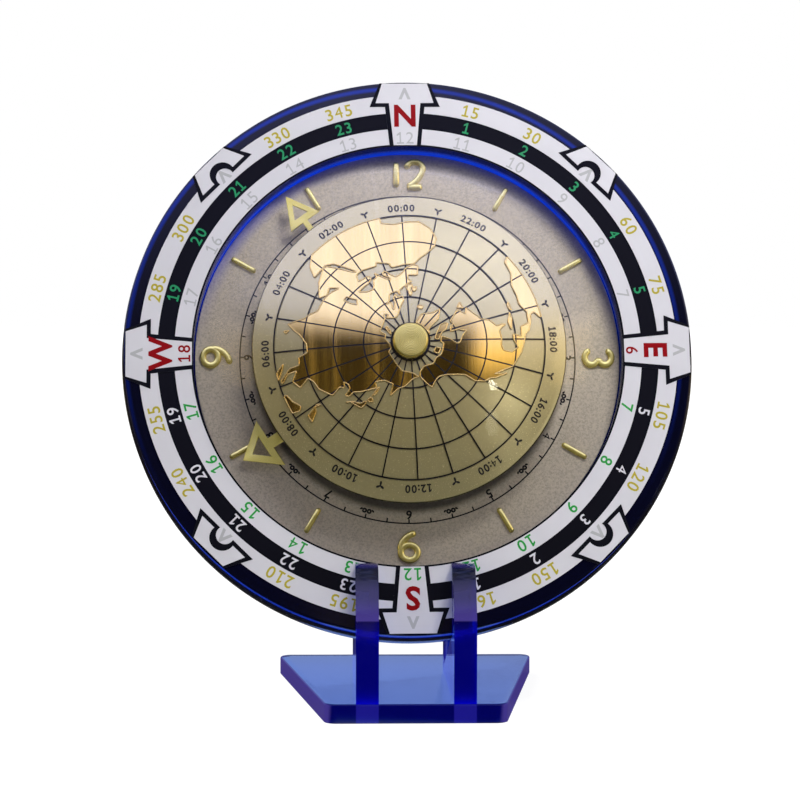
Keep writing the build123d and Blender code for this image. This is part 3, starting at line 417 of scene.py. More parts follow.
def edge_lit(name):
    """The bezel's blue sheet over its black back: nearly black, with a painted glow in place of piped light
    along its rim, round its opening and on its outer edge, in its base colour and its emission. On the rim
    the painted glow sits further in on the right than on the left; round the opening it is strongest at the
    top."""
    made = Finish(name)
    right, up, out, radius = made.polar()
    rise = up / radius
    off = abs(radius + 0.0014 * (right / radius) - 0.0877)
    rim = made.ramp(off, 0.0, 0.0011, 1.0, 0.0) * made.ramp(rise, -0.6, 0.9, 0.0, 0.9)
    wall = made.ramp(radius, 0.0686, 0.0690, 1.0, 0.0) * made.ramp(rise, -0.1, 0.9, 0.05, 1.0)
    wall = wall * made.ramp(out, -0.0068, -0.0026, 0.95, 0.1)
    edge = made.ramp(out, -0.0012, -0.0006, 1.0, 0.0) * made.ramp(radius, 0.0893, 0.0899)
    cloud = made.noise(45.0, 3.0)
    # Painted glow on the rim, round the opening and on the outer edge, put into the base colour and the
    # emission
    glow = (rim * 0.45 + wall + edge * 0.6) * (0.6 + 0.8 * cloud)
    base = made.mix(glow, (0.001, 0.0015, 0.008), (0.0, 0.02, 0.30))
    light = made.mix(glow, (0.0, 0.0, 0.004), (0.006, 0.04, 0.55))
    return made.close(made.principled(
        Base_Color=base, Roughness=0.05 + 0.05 * cloud, Specular_IOR_Level=0.3,
        Emission_Color=light, Emission_Strength=0.8,
    ))


def black_sheet(name):
    """Gloss black sheet with faint smears."""
    made = Finish(name)
    smear = made.noise(35.0, 4.0)
    base = made.mix(smear, (0.004, 0.004, 0.007), (0.012, 0.012, 0.018))
    return made.close(made.principled(Base_Color=base, Roughness=0.07 + 0.12 * smear, Coat_Weight=0.4))


def print_film(name, colour, gloss, sheen=0.5):
    """Printed film: an even colour with slight mottling and a fine tooth."""
    made = Finish(name)
    mottle = made.noise(55.0, 3.0)
    base = made.vary(mottle, colour, 0.93, 1.05)
    normal = made.bump(made.noise(2600.0, 2.0), 0.06, 0.00005)
    return made.close(made.principled(
        Base_Color=base, Roughness=gloss + 0.1 * mottle, Normal=normal, Specular_IOR_Level=sheen,
    ))


def dial_grain(name, colours):
    """Grained dial: warm grey metal paint with fine sparkle and a sandy tooth, with a painted shadow that
    leaves it nearly black under the world disc, and painted blue light from the ring round its upper edge."""
    made = Finish(name)
    _, up, _, radius = made.polar()
    sand = made.noise(1500.0, 3.0, roughness=0.75)
    fleck = made.node("ShaderNodeTexVoronoi", None, {"Vector": made.place(), "Scale": 1500.0})
    base = made.vary(made.noise(28.0, 4.0), colours.dial, 0.93, 1.06)
    base = made.mix(made.ramp(sand, 0.38, 0.68, 0.0, 0.6), base, shade(colours.dial, 0.5))
    # Painted shadow: the dial goes nearly black under the world disc's edge
    base = made.mix(made.ramp(radius, 0.0485, 0.0515, 0.85, 0.0), base, (0.012, 0.01, 0.008))
    # Painted blue light from the ring, round the dial's upper edge
    painted_blue_light = made.ramp(radius, 0.0625, 0.0678, 0.0, 0.7) * made.ramp(up, 0.0, 0.045)
    base = made.mix(painted_blue_light, base, (0.07, 0.09, 0.42))
    normal = made.bump(sand + fleck * 0.6, 0.35, 0.00012)
    return made.close(made.principled(
        Base_Color=base, Metallic=0.1, Roughness=0.42 + 0.25 * sand, Normal=normal,
    ))


def applied_gold(name, colours, metal):
    """Gold of the markers and hands, with soft wear in the gloss."""
    made = Finish(name)
    wear = made.noise(160.0, 4.0)
    base = made.vary(wear, colours.gold, 0.86, 1.08)
    normal = made.bump(made.noise(900.0, 2.0), 0.05, 0.00005)
    return made.close(made.principled(
        Base_Color=base, Metallic=metal, Roughness=0.16 + 0.12 * wear, Normal=normal,
    ))


def land_gold(name, colours):
    """Polished land: gold with faint upright polishing lines."""
    made = Finish(name)
    lines = made.noise(60.0, 3.0, stretch=(26.0, 0.7, 1.0))
    base = made.vary(lines, colours.land, 0.85, 1.08)
    normal = made.bump(lines, 0.05, 0.0001)
    return made.close(made.principled(
        Base_Color=base, Metallic=1.0, Roughness=0.04 + 0.08 * lines, Normal=normal,
    ))


def coast_gold(name, colours):
    """Bright rolled edge of the land, a little worn."""
    made = Finish(name)
    wear = made.noise(300.0, 3.0)
    base = made.vary(wear, colours.land, 0.95, 1.2)
    return made.close(made.principled(Base_Color=base, Metallic=0.8, Roughness=0.16 + 0.12 * wear))


def sea_satin(name, colours):
    """Satin champagne disc with a very fine blast and a painted shade that darkens its edge."""
    made = Finish(name)
    radius = made.polar()[3]
    blast = made.noise(3200.0, 2.0)
    base = made.vary(made.noise(22.0, 3.0), colours.sea, 0.94, 1.05)
    # Painted shade on the disc's rounded edge, nearly black
    base = made.mix(made.ramp(radius, 0.0490, 0.0494), base, shade(colours.sea, 0.06))
    normal = made.bump(blast, 0.12, 0.00005)
    return made.close(made.principled(
        Base_Color=base, Metallic=0.5, Roughness=0.22 + 0.08 * blast, Normal=normal,
    ))


def turned_brass(name, colours):
    """Brass faced on a lathe: fine rings about the head's axis."""
    made = Finish(name)
    rings = made.node(
        "ShaderNodeTexWave", {"wave_type": "RINGS", "rings_direction": "Z"},
        {"Vector": made.place(), "Scale": 620.0, "Distortion": 0.6, "Detail": 1.0},
    )
    base = made.vary(made.noise(240.0, 3.0), colours.brass, 0.85, 1.1)
    normal = made.bump(rings, 0.25, 0.00006)
    return made.close(made.principled(
        Base_Color=base, Metallic=0.75, Roughness=0.24 + 0.14 * rings, Normal=normal,
    ))


def clear_crystal(name):
    """Clear polished cover: see-through, with a mirror share that grows towards grazing sight."""
    made = Finish(name)
    dust = made.noise(14.0, 4.0)
    mirror = made.principled(
        Base_Color=(1.0, 0.92, 0.66, 1.0), Metallic=1.0, Roughness=0.02 + 0.03 * dust,
    )
    through = made.node("ShaderNodeBsdfTransparent", None, {0: (0.985, 0.99, 1.0, 1.0)})
    raised = made.ramp(made.axes()[2], 0.001, 0.009, 0.0, 0.42)
    share = made.node("ShaderNodeFresnel", None, {"IOR": 1.42}) * raised
    return made.close(made.node("ShaderNodeMixShader", None, {0: share, 1: through, 2: mirror}))


def moulded(name, colour, gloss, grain):
    """Moulded plastic or a plain metal part: spark-textured surface with uneven gloss."""
    made = Finish(name)
    cloud = made.noise(40.0, 3.0)
    base = made.vary(cloud, colour, 0.85, 1.12)
    normal = made.bump(made.noise(1300.0, 3.0), grain, 0.0001)
    return made.close(made.principled(Base_Color=base, Roughness=gloss + 0.12 * cloud, Normal=normal))


def plain_metal(name, colour, gloss):
    """Rolled or plated metal with fine drawing lines."""
    made = Finish(name)
    lines = made.noise(120.0, 3.0, stretch=(1.0, 18.0, 18.0))
    base = made.vary(lines, colour, 0.86, 1.06)
    normal = made.bump(lines, 0.08, 0.00005)
    return made.close(made.principled(
        Base_Color=base, Metallic=1.0, Roughness=gloss + 0.14 * lines, Normal=normal,
    ))


def white_film(colours):
    """Pale print of the scales."""
    return finish("scale_white", print_film, colours.scale_white, 0.3)


def black_ink():
    """Dark print on the dial and the world disc."""
    return finish("ink_black", print_film, (0.012, 0.011, 0.012), 0.4, 0.2)


def bright_steel():
    """Steel of the screws and small metal parts."""
    return finish("screw_steel", plain_metal, (0.56, 0.56, 0.57), 0.25)


def bright_brass(colours):
    """Brass of the knob, nuts and wheels."""
    return finish("turned_brass", turned_brass, colours)


# Shapes: every function returns points in head millimetres and faces as lists of indices


def seat(points):
    """Head millimetres into the part's metres: the head's middle plus each number times its direction."""
    return HEAD + MM * (points[:, 0:1] * RIGHT + points[:, 1:2] * UP + points[:, 2:3] * OUT)


def quads(rows, cols, close_rows=False, close_cols=True):
    """Faces of a grid of rows by cols points: each joins a point, its neighbour and the same two one row
    on."""
    row = np.arange(rows if close_rows else rows - 1)
    col = np.arange(cols if close_cols else cols - 1)
    row, col = np.meshgrid(row, col, indexing="ij")
    after, beside = (row + 1) % rows, (col + 1) % cols
    corners = (row * cols + col, row * cols + beside, after * cols + beside, after * cols + col)
    return np.stack(corners, -1).reshape(-1, 4).tolist()


def lathe(profile, steps=LATHE_STEPS, closed=True):
    """A profile of radius and height carried round the head's axis: x is r sin a, y is r cos a."""
    profile = np.asarray(profile, float)
    angle = np.linspace(0.0, 2.0 * pi, steps, endpoint=False)
    radius, height = profile[:, 0:1], profile[:, 1:2]
    points = np.stack((radius * np.sin(angle), radius * np.cos(angle), height + 0.0 * angle), -1)
    return points.reshape(-1, 3), quads(len(profile), steps, close_rows=closed)


def slab(outline, low, high):
    """A flat outline between two levels: a floor, a roof and one wall for each side."""
    outline = np.asarray(outline, float)
    count = len(outline)
    index = np.arange(count)
    points = np.vstack([np.column_stack((outline, np.full(count, level))) for level in (low, high)])
    walls = np.stack((index, np.roll(index, -1), np.roll(index, -1) + count, index + count), -1)
    return points, [index[::-1].tolist(), (index + count).tolist()] + walls.tolist()


def turn(shape, clock):
    """Turn a shape about the head's axis by an angle clockwise from the top, in degrees."""
    points, faces = shape
    right, up, out = points.T
    c, s = cos(radians(clock)), sin(radians(clock))
    return np.column_stack((right * c + up * s, up * c - right * s, out)), faces


def around(shape, count, first=0.0):
    """A shape several times, at equal angles about the head's axis from a first angle on."""
    return [turn(shape, first + 360.0 / count * step) for step in range(count)]


def band(inner, outer, low, high):
    """The square profile of a flat ring."""
    return [(inner, low), (outer, low), (outer, high), (inner, high)]


def printed(level):
    """The two levels of print on a face: just under it and a film's thickness above it."""
    return level - 0.02, level + 0.03


def shift(shape, right, up):
    """Move a shape across the dial."""
    points, faces = shape
    return points + np.array((right, up, 0.0)), faces


def join(shapes):
    """Several shapes as one: points one after another, with the faces' numbers moved up."""
    points, faces, start = [], [], 0
    for some, sides in shapes:
        points.append(some)
        faces += [[start + corner for corner in side] for side in sides]
        start += len(some)
    return np.vstack(points), faces


def arc(start, middle, end, count=28):
    """Points on the circle through three points, from the first to the last."""
    a, b, c = (np.asarray(point, float) for point in (start, middle, end))
    lines = 2.0 * np.array((b - a, c - a))
    centre = np.linalg.solve(lines, np.array((b @ b - a @ a, c @ c - a @ a)))
    first, second, third = (np.arctan2(*(point - centre)[::-1]) for point in (a, b, c))
    forward = (third - first) % (2.0 * pi)
    sweep = forward if (second - first) % (2.0 * pi) < forward else forward - 2.0 * pi
    angle = first + np.linspace(0.0, 1.0, count) * sweep
    return centre + np.linalg.norm(a - centre) * np.column_stack((np.cos(angle), np.sin(angle)))


def sweep_arc(centre, radius, begin, sweep, count=36):
    """Points of a circle from an angle over a sweep, in degrees."""
    angle = np.radians(begin + np.linspace(0.0, 1.0, count) * sweep)
    return np.asarray(centre) + radius * np.column_stack((np.cos(angle), np.sin(angle)))


def distances(path):
    """How far along a path each of its points lies."""
    return np.concatenate(([0.0], np.cumsum(np.linalg.norm(np.diff(path, axis=0), axis=1))))


def spots(path, along):
    """Points of a path at given distances along it, straight between its own points."""
    reach = distances(path)
    return np.column_stack([np.interp(along, reach, path[:, axis]) for axis in (0, 1)])


def leftward(run):
    """Unit vectors a quarter turn to the left of each direction."""
    run = run / np.maximum(np.linalg.norm(run, axis=1, keepdims=True), 1e-9)
    return np.column_stack((-run[:, 1], run[:, 0]))


def bar(path, width, height, base, closed=False, sides=13):
    """A crowned bar along a path. Across, its section has a flattish crown: the square roots of the
    cosine and sine give its half width and rise. Near an open end, at a distance d, the section shrinks
    by the square root of 1 - (1 - d / half width) squared, which rounds the end."""
    path = np.asarray(path, float)
    half = width / 2.0
    total = distances(path)[-1]
    nose = half * (1.0 - np.cos(np.linspace(0.0, pi / 2.0, 7)))
    body = np.linspace(half, total - half, max(len(path), 4))[1:-1]
    along = np.linspace(0.0, total, 97) if closed else np.concatenate((nose, body, total - nose[::-1]))
    left = leftward(spots(path, along + 0.02) - spots(path, along - 0.02))
    end = np.clip(np.minimum(along, total - along) / half, 0.0, 1.0)
    share = np.ones_like(along) if closed else np.sqrt(np.clip(1.0 - (1.0 - end) ** 2, 0.0, 1.0))
    arch = np.linspace(0.0, pi, sides)
    side = half * share[:, None] * np.sign(np.cos(arch)) * np.abs(np.cos(arch)) ** 0.5
    rise = base + height * share[:, None] * np.abs(np.sin(arch)) ** 0.5
    flat = spots(path, along)[:, None, :] + side[:, :, None] * left[:, None, :]
    return np.dstack((flat, rise[:, :, None])).reshape(-1, 3), quads(len(along), sides, close_rows=False)


def dome(radius, lift=0.0):
    """Height of the world disc at a radius: a sphere about a centre on the axis, raised by a lift."""
    return DOME_APEX - DOME_RADIUS + np.sqrt((DOME_RADIUS + lift) ** 2 - np.asarray(radius, float) ** 2)


def rib(inner, outer, width, low, high, count=40):
    """A straight upright line on the dome from one radius to another, a square section that follows the
    sphere."""
    along = np.linspace(inner, outer, count)
    half = width / 2.0
    corners = ((-half, low), (half, low), (half, high), (-half, high))
    rows = [np.column_stack((np.full(count, x), along, dome(along, lift))) for x, lift in corners]
    points = np.stack(rows, 1).reshape(-1, 3)
    caps = [[3, 2, 1, 0], [4 * count - 4 + corner for corner in range(4)]]
    return points, quads(count, 4) + caps


def hoop(radius, width, low, high):
    """A circle of the map: the same square section carried round the axis."""
    inner, outer = radius - width / 2.0, radius + width / 2.0
    corners = ((inner, low), (inner, high), (outer, high), (outer, low))
    return lathe([(edge, dome(edge, lift)) for edge, lift in corners])


GLYPHS = {}


def flagged_one(weight):
    """A 1 with a flag and a foot, as tall as the font's other figures: one outline, thickened by the
    weight."""
    tall = glyph("0", weight)[0][:, 1]
    low, high = tall.min(), tall.max()
    thick = 0.085 + 2.0 * weight
    stem_left, stem_right = 0.2 - thick / 2.0, 0.2 + thick / 2.0
    outline = [
        (0.0, low), (0.4, low), (0.4, low + thick), (stem_right, low + thick), (stem_right, high),
        (0.2 - thick / 3.0, high), (0.0, high - 0.14), (0.0, high - 0.14 - thick), (stem_left, high - 0.16),
        (stem_left, low + thick), (0.0, low + thick),
    ]
    return slab(outline, -0.5, 0.5)


def points_of(mesh):
    """A mesh's points as rows of three numbers."""
    flat = np.empty(len(mesh.vertices) * 3)
    mesh.vertices.foreach_get("co", flat)
    return flat.reshape(-1, 3)


def glyph(letter, weight):
    """One figure as a solid of unit thickness, a figure's height tall, with its left edge at zero. The 4
    stays light, so that its counter is open."""
    if letter == "1" and (letter, weight) not in GLYPHS:
        GLYPHS[letter, weight] = flagged_one(weight)
    if (letter, weight) not in GLYPHS:
        curve = bpy.data.curves.new("glyph", "FONT")
        curve.body, curve.extrude, curve.resolution_u = letter, 0.5, 3
        curve.offset = 0.0 if letter == "4" else weight
        holder = bpy.data.objects.new("glyph", curve)
        bpy.context.scene.collection.objects.link(holder)
        bpy.context.view_layer.update()
        mesh = bpy.data.meshes.new_from_object(holder)
        points = points_of(mesh)
        faces = [list(side.vertices) for side in mesh.polygons]
        bpy.data.objects.remove(holder)
        bpy.data.curves.remove(curve)
        bpy.data.meshes.remove(mesh)
        points[:, 0] -= points[:, 0].min()
        GLYPHS[letter, weight] = points, faces
    return GLYPHS[letter, weight]


def word(text, radius, clock, height, low, high, weight=0.012, gap=0.2):
    """A word bent round a circle with its tops outward: each figure stands on its own clock angle."""
    tall = glyph("0", weight)[0][:, 1]
    size = height / (tall.max() - tall.min())
    middle = (tall.max() + tall.min()) / 2.0
    widths = [np.ptp(glyph(letter, weight)[0][:, 0]) * size for letter in text]
    starts = np.concatenate(([0.0], np.cumsum(np.array(widths) + gap * height)))
    total = starts[-1] - gap * height
    shapes = []
    for letter, start, width in zip(text, starts, widths):
        points, faces = glyph(letter, weight)
        across = points[:, 0] * size - width / 2.0
        level = low + (points[:, 2] + 0.5) * (high - low)
        placed = np.column_stack((across, radius + (points[:, 1] - middle) * size, level))
        lean = np.degrees((start + width / 2.0 - total / 2.0) / radius)
        shapes.append(turn((placed, faces), clock + lean))
    return join(shapes)


def on_dome(shape):
    """Lay a flat shape on the dome: the dome's height under each point is added to its own."""
    points, faces = shape
    radius = np.hypot(points[:, 0], points[:, 1])
    return np.column_stack((points[:, :2], points[:, 2] + dome(radius))), faces


# Pieces


def weld(mesh, sharp):
    """Merge double points, turn the faces outwards, and smooth all edges flatter than an angle."""
    work = bmesh.new()
    work.from_mesh(mesh)
    bmesh.ops.remove_doubles(work, verts=work.verts, dist=0.000002)
    bmesh.ops.dissolve_degenerate(work, edges=work.edges, dist=0.000001)
    bmesh.ops.recalc_face_normals(work, faces=work.faces)
    work.to_mesh(mesh)
    work.free()
    mesh.shade_smooth()
    mesh.set_sharp_from_angle(angle=radians(sharp))


def dress(mesh, name, body, look, stands_for=()):
    """Put a finished mesh into the scene: its finish, the body it rides on and the solids it stands for."""
    made = bpy.data.objects.new(name, mesh)
    bpy.context.scene.collection.objects.link(made)
    mesh.materials.clear()
    mesh.materials.append(look)
    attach(made, body)
    if stands_for:
        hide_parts(*stands_for)
    return made


def piece(name, shape, body, look, stands_for=(), sharp=32.0):
    """A new piece from a shape of the head; the bezel's pieces are turned to its rest angle."""
    points, faces = turn(shape, REST) if body == "bezel" else shape
    mesh = bpy.data.meshes.new(name)
    mesh.from_pydata(seat(points).tolist(), [], faces)
    weld(mesh, sharp)
    return dress(mesh, name, body, look, stands_for)


def copy_of(node, name, look, sharp=32.0, bevel=0.0, edge=40.0):
    """A welded copy of a solid that stands for it, with its flat faces joined and its edges softened."""
    solid = frame["nodes"][node]
    mesh = solid.data.copy()
    weld(mesh, sharp)
    made = dress(mesh, name, solid["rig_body"], look, (node,))
    if bevel > 0.0:
        work = bmesh.new()
        work.from_mesh(mesh)
        bmesh.ops.dissolve_limit(work, angle_limit=radians(1.0), verts=work.verts, edges=work.edges)
        work.to_mesh(mesh)
        work.free()
        soften = made.modifiers.new("edges", "BEVEL")
        soften.width, soften.segments, soften.limit_method = bevel * MM, 2, "ANGLE"
        soften.angle_limit = radians(edge)
        soften.harden_normals = True
    return made


def paint(look, *nodes):
    """Give solids that show as they are a better finish."""
    for node in nodes:
        mesh = frame["nodes"][node].data
        mesh.materials.clear()
        mesh.materials.append(look)


def keys_of(group):
    """The names of a group's own properties."""
    return [key for key in group.bl_rna.properties.keys() if key not in ("rna_type", "name")]


def sizes(context):
    """The size properties in millimetres."""
    group = context.scene.clock_sizes
    return {key: getattr(group, key) / MM for key in keys_of(group)}


class CLOCK_OT_stand(bpy.types.Operator):
    """Dress the base sheet and the two slotted arms in clear blue sheet"""

    bl_idname = "clock.stand"
    bl_label = "Stand"

    def execute(self, context):
        colours = context.scene.clock_colours
        # Each sheet's finish takes the depth of its blue and the strength of its painted glow
        look = finish("base_blue", blue_sheet, colours, 225.0, 0.055, True)
        copy_of("stand_base", "base_sheet", look, bevel=sizes(context)["sheet_bevel"])
        look = finish("arm_blue", blue_sheet, colours, 360.0, 0.13, False)
        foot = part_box("stand_base")[1].z
        for side in ("left", "right"):
            mesh = copy_of(f"stand_arm_{side}", f"arm_sheet_{side}", look).data
            points = points_of(mesh)
            points[points[:, 2] < foot + 0.01 * MM, 2] -= FOOT_SINK * MM
            mesh.vertices.foreach_set("co", points.ravel())
            mesh.update()
        return {"FINISHED"}


class CLOCK_OT_bezel(bpy.types.Operator):
    """Turn the black back plate and the clear blue bezel ring"""

    bl_idname = "clock.bezel"
    bl_label = "Bezel and back plate"

    def execute(self, context):
        ring = [
            (OPENING, 0.0), (BEZEL - 0.64, 0.0), (BEZEL - 0.6, 0.0), (BEZEL - 0.18, -0.18), (BEZEL, -0.6),
            (BEZEL, -6.0), (70.0, -6.0), (70.0, -10.0), (66.9, -10.0), (66.9, -8.95), (OPENING, -8.95),
        ]
        look = finish("edge_lit", edge_lit)
        piece("bezel_sheet", lathe(ring), "bezel", look, ("bezel_ring",))
        plate = [
            (POST_HOLE, DIAL_BACK), (66.775, DIAL_BACK), (66.775, -10.25), (70.25, -10.25), (70.25, -6.25),
            (90.55, -6.25), (90.6, -6.25), (90.9, -6.4), (91.0, -6.7), (91.0, -12.4), (90.8, -12.8),
            (90.4, -13.0), (90.3, -13.0), (POST_HOLE, -13.0),
        ]
        look = finish("black_sheet", black_sheet)
        piece("back_sheet", lathe(plate), "head", look, ("back_plate",))
        return {"FINISHED"}


def arrow(head, wing, neck, foot, tip, wing_radius, foot_radius):
    """Outline of a compass arrow: a flared head, two wings and a stem that narrows towards the dial."""
    top = (tip**2 - head**2) ** 0.5
    half = [(foot, foot_radius), (neck, wing_radius), (wing, wing_radius), (head, top)]
    return half + [(-x, y) for x, y in half[::-1]]


def mark(head, wing, arch, rise, tip, wing_radius):
    """Outline of a diagonal mark: a flared head whose underside is cut by a round arch."""
    top = (tip**2 - head**2) ** 0.5
    curve = arc((arch, wing_radius), (0.0, wing_radius + rise), (-arch, wing_radius), 25)
    return [(-wing, wing_radius), (-head, top), (head, top), (wing, wing_radius)] + curve.tolist()


class CLOCK_OT_scales(bpy.types.Operator):
    """Lay the printed films on the bezel: two pale scales, the dark band, arrows and marks with outlines"""

    bl_idname = "clock.scales"
    bl_label = "Scales"

    def execute(self, context):
        colours = context.scene.clock_colours
        rim = sizes(context)["outline"]
        white = white_film(colours)
        black = finish("scale_black", print_film, colours.scale_black, 0.3, 0.12)
        flat = band(FILM_INNER, FILM_OUTER, 0.0, BAND_TOP)
        piece("band_film", lathe(flat), "bezel", black, ("scale_backing",))
        for name, inner, outer in (("outer", BAND_OUTER, FILM_OUTER), ("inner", FILM_INNER, BAND_INNER)):
            flat = band(inner, outer, BAND_TOP - 0.01, FILM_TOP)
            piece(f"{name}_film", lathe(flat), "bezel", white, (f"{name}_scale",))
        face, line = (FILM_TOP, MARK_TOP), (BAND_TOP + 0.01, MARK_TOP - 0.06)
        pale = slab(arrow(7.3, 9.4, 5.1, 3.75, 89.6, WING, 68.45), *face)
        dark = arrow(7.3 + 0.6 * rim, 9.4 + 1.5 * rim, 5.1 + rim, 3.75 + rim, 89.8, WING - rim, 68.45)
        piece("arrow_faces", join(around(pale, 4)), "bezel", white, ("cardinal_arrows",))
        lines = around(slab(dark, *line), 4) + [lathe(band(68.2, 68.75, 0.0, 0.32))]
        pale = slab(mark(6.4, 9.3, 4.1, 4.6, 89.6, WING), *face)
        dark = mark(6.4 + 0.6 * rim, 9.3 + 1.7 * rim, 4.1 - rim, 3.5, 89.8, WING - rim)
        piece("mark_faces", join(around(pale, 4, 45.0)), "bezel", white, ("diagonal_marks",))
        lines += around(slab(dark, *line), 4, 45.0)
        piece("scale_outlines", join(lines), "bezel", black)
        return {"FINISHED"}


# Words of the bezel by their angles: the bearings, and two rings of hours that run against each other
STEP = 15
UPPER = (15, 30, 45, 60, 75, 285, 300, 315, 330, 345)
LOWER = (105, 120, 135, 150, 165, 195, 210, 225, 240, 255)
BEARINGS = {angle: str(angle) for angle in range(STEP, 360, STEP) if angle % 45}
UPPER_HOURS = {angle: str(angle // STEP) for angle in UPPER}
LOWER_HOURS = {angle: str((12 - angle // STEP) % 24) for angle in LOWER}
UPPER_INNER = {angle: str((12 - angle // STEP) % 24) for angle in UPPER}
LOWER_INNER = {angle: str(angle // STEP) for angle in LOWER}


def ring_of(words, radius, height, level, weight=0.012):
    """Words round the bezel, each at its own angle."""
    return [word(text, radius, angle, height, *level, weight) for angle, text in words.items()]


def chevron(radius, width, rise, stroke, low, high):
    """A small caret that points outward: two strokes that meet on the middle line."""
    half = width / 2.0
    foot, crest = radius - rise / 2.0, radius + rise / 2.0
    outline = [
        (-half, foot), (-half + stroke, foot), (0.0, crest - 1.6 * stroke), (half - stroke, foot),
        (half, foot), (stroke / 3.0, crest), (-stroke / 3.0, crest),
    ]
    return slab(outline, low, high)


class CLOCK_OT_figures(bpy.types.Operator):
    """Print the bearings, hours and compass letters on the bezel"""

    bl_idname = "clock.figures"
    bl_label = "Bezel figures"

    def execute(self, context):
        colours = context.scene.clock_colours
        size = sizes(context)
        tall = size["inner_height"]
        on_band, on_film, on_mark = (printed(level) for level in (BAND_TOP, FILM_TOP, MARK_TOP))
        grey = ring_of(UPPER_INNER, INNER_LINE, tall, on_film, 0.0)
        grey += ring_of({0: "12"}, ARROW_LINE, tall, on_mark, 0.0)
        grey += around(chevron(85.9, 3.9, 3.9, 1.0, *on_mark), 4)
        grey += around(chevron(82.7, 4.0, 4.0, 1.0, *on_film), 4, 45.0)
        leaf = ring_of(LOWER_INNER, INNER_LINE, tall, on_film)
        leaf += ring_of({180: "12"}, ARROW_LINE, tall, on_mark)
        compass = {0: "N", 90: "E", 180: "S", 270: "W"}
        red = ring_of(compass, LETTER_LINE, size["letter_height"], on_mark, 0.03)
        red += ring_of({90: "6", 270: "18"}, ARROW_LINE, tall, on_mark, 0.01)
        yellow = ring_of(BEARINGS, BEARING_LINE, size["bearing_height"], on_film)
        green = ring_of(UPPER_HOURS, HOUR_LINE, size["hour_height"], on_band)
        white = ring_of(LOWER_HOURS, HOUR_LINE, size["hour_height"], on_band)
        for name, shapes, look in (
            ("bearing_figures", yellow, finish("ink_yellow", print_film, colours.bearing, 0.35)),
            ("upper_hour_figures", green, finish("ink_hour_green", print_film, colours.hour_green, 0.35)),
            ("lower_hour_figures", white, white_film(colours)),
            ("upper_inner_figures", grey, finish("ink_grey", print_film, colours.inner_grey, 0.35)),
            ("lower_inner_figures", leaf, finish("ink_inner_green", print_film, colours.inner_green, 0.35)),
            ("compass_letters", red, finish("ink_red", print_film, colours.letter_red, 0.35, 0.15)),
        ):
            piece(name, join(shapes), "bezel", look)
        return {"FINISHED"}


def ornament():
    """A small scroll for the half hours: two loops side by side with a tail under each."""
    strokes = []
    for side in (-1.0, 1.0):
        loop = sweep_arc((side * 0.76, 0.0), 0.52, 0.0, 360.0, 24)
        tail = sweep_arc((side * 1.45, 0.25), 0.75, 270.0, side * 75.0, 12)
        strokes.append(bar(loop, 0.6, 0.04, DIAL_TOP - 0.01, closed=True, sides=5))
        strokes.append(bar(tail, 0.6, 0.04, DIAL_TOP - 0.01, sides=5))
    return join(strokes)


class CLOCK_OT_dial(bpy.types.Operator):
    """Turn the grained dial plate and print its track, small hours and scrolls"""

    bl_idname = "clock.dial"
    bl_label = "Dial"

    def execute(self, context):
        colours = context.scene.clock_colours
        track = sizes(context)["track_radius"]
        plate = [
            (POST_HOLE, DIAL_BACK), (POST_HOLE, DIAL_TOP), (DIAL_RADIUS - 0.2, DIAL_TOP),
            (DIAL_RADIUS, DIAL_TOP - 0.2), (DIAL_RADIUS, DIAL_BACK),
        ]
        look = finish("dial_grain", dial_grain, colours)
        piece("dial_face", lathe(plate), "head", look, ("dial_plate",))
        level = printed(DIAL_TOP)
        shapes = [lathe(band(track - 0.22, track + 0.22, *level))]
        shapes += around(slab(band(-0.23, 0.23, track - 1.35, track), *level), 48)
        shapes += [word(str(hour), SMALL_HOUR_LINE, 30.0 * hour, 2.9, *level, 0.025) for hour in range(1, 13)]
        shapes += around(shift(ornament(), 0.0, SCROLL_LINE), 12, 15.0)
        piece("dial_print", join(shapes), "head", black_ink())
        paint(bright_steel(), "dial_screws")
        return {"FINISHED"}


def two_path():
    """The 2 without its foot: an arch, then a line that leans back to the foot's left end."""
    arch = arc((0.0, 1.75), (2.3, 4.05), (4.6, 1.75), 30)
    lean = arc((4.6, 1.75), (3.25, -1.3), (0.15, -4.0), 20)
    return np.vstack((arch, lean[1:]))


def numeral_bars(hour, width, height):
    """The bars of one applied numeral, about its own middle: paths drawn narrow, then widened and
    heightened."""
    base = DIAL_TOP - 0.05
    fuller = np.array((1.16, 1.06))
    closed = hour in (6, 9)
    if hour == 12:
        one, foot = [(-2.9, -4.05), (-2.9, 4.05)], [(0.05, -4.05), (4.5, -4.05)]
        paths = [np.array(one), two_path(), np.array(foot)]
    elif hour == 3:
        paths = [sweep_arc((0.0, side * 2.025), 2.025, side * -90.0, side * 262.0) for side in (-1.0, 1.0)]
    else:
        flip = 1.0 if hour == 6 else -1.0
        ring = sweep_arc((0.0, -1.782 * flip), 2.268, 90.0, 360.0, 60)
        stem = flip * arc((-2.268, -1.782), (-1.4, 2.025), (1.9, 4.0), 28)
        paths = [ring, stem]
    return [bar(path * fuller, width, height, base, closed and path is paths[0]) for path in paths]


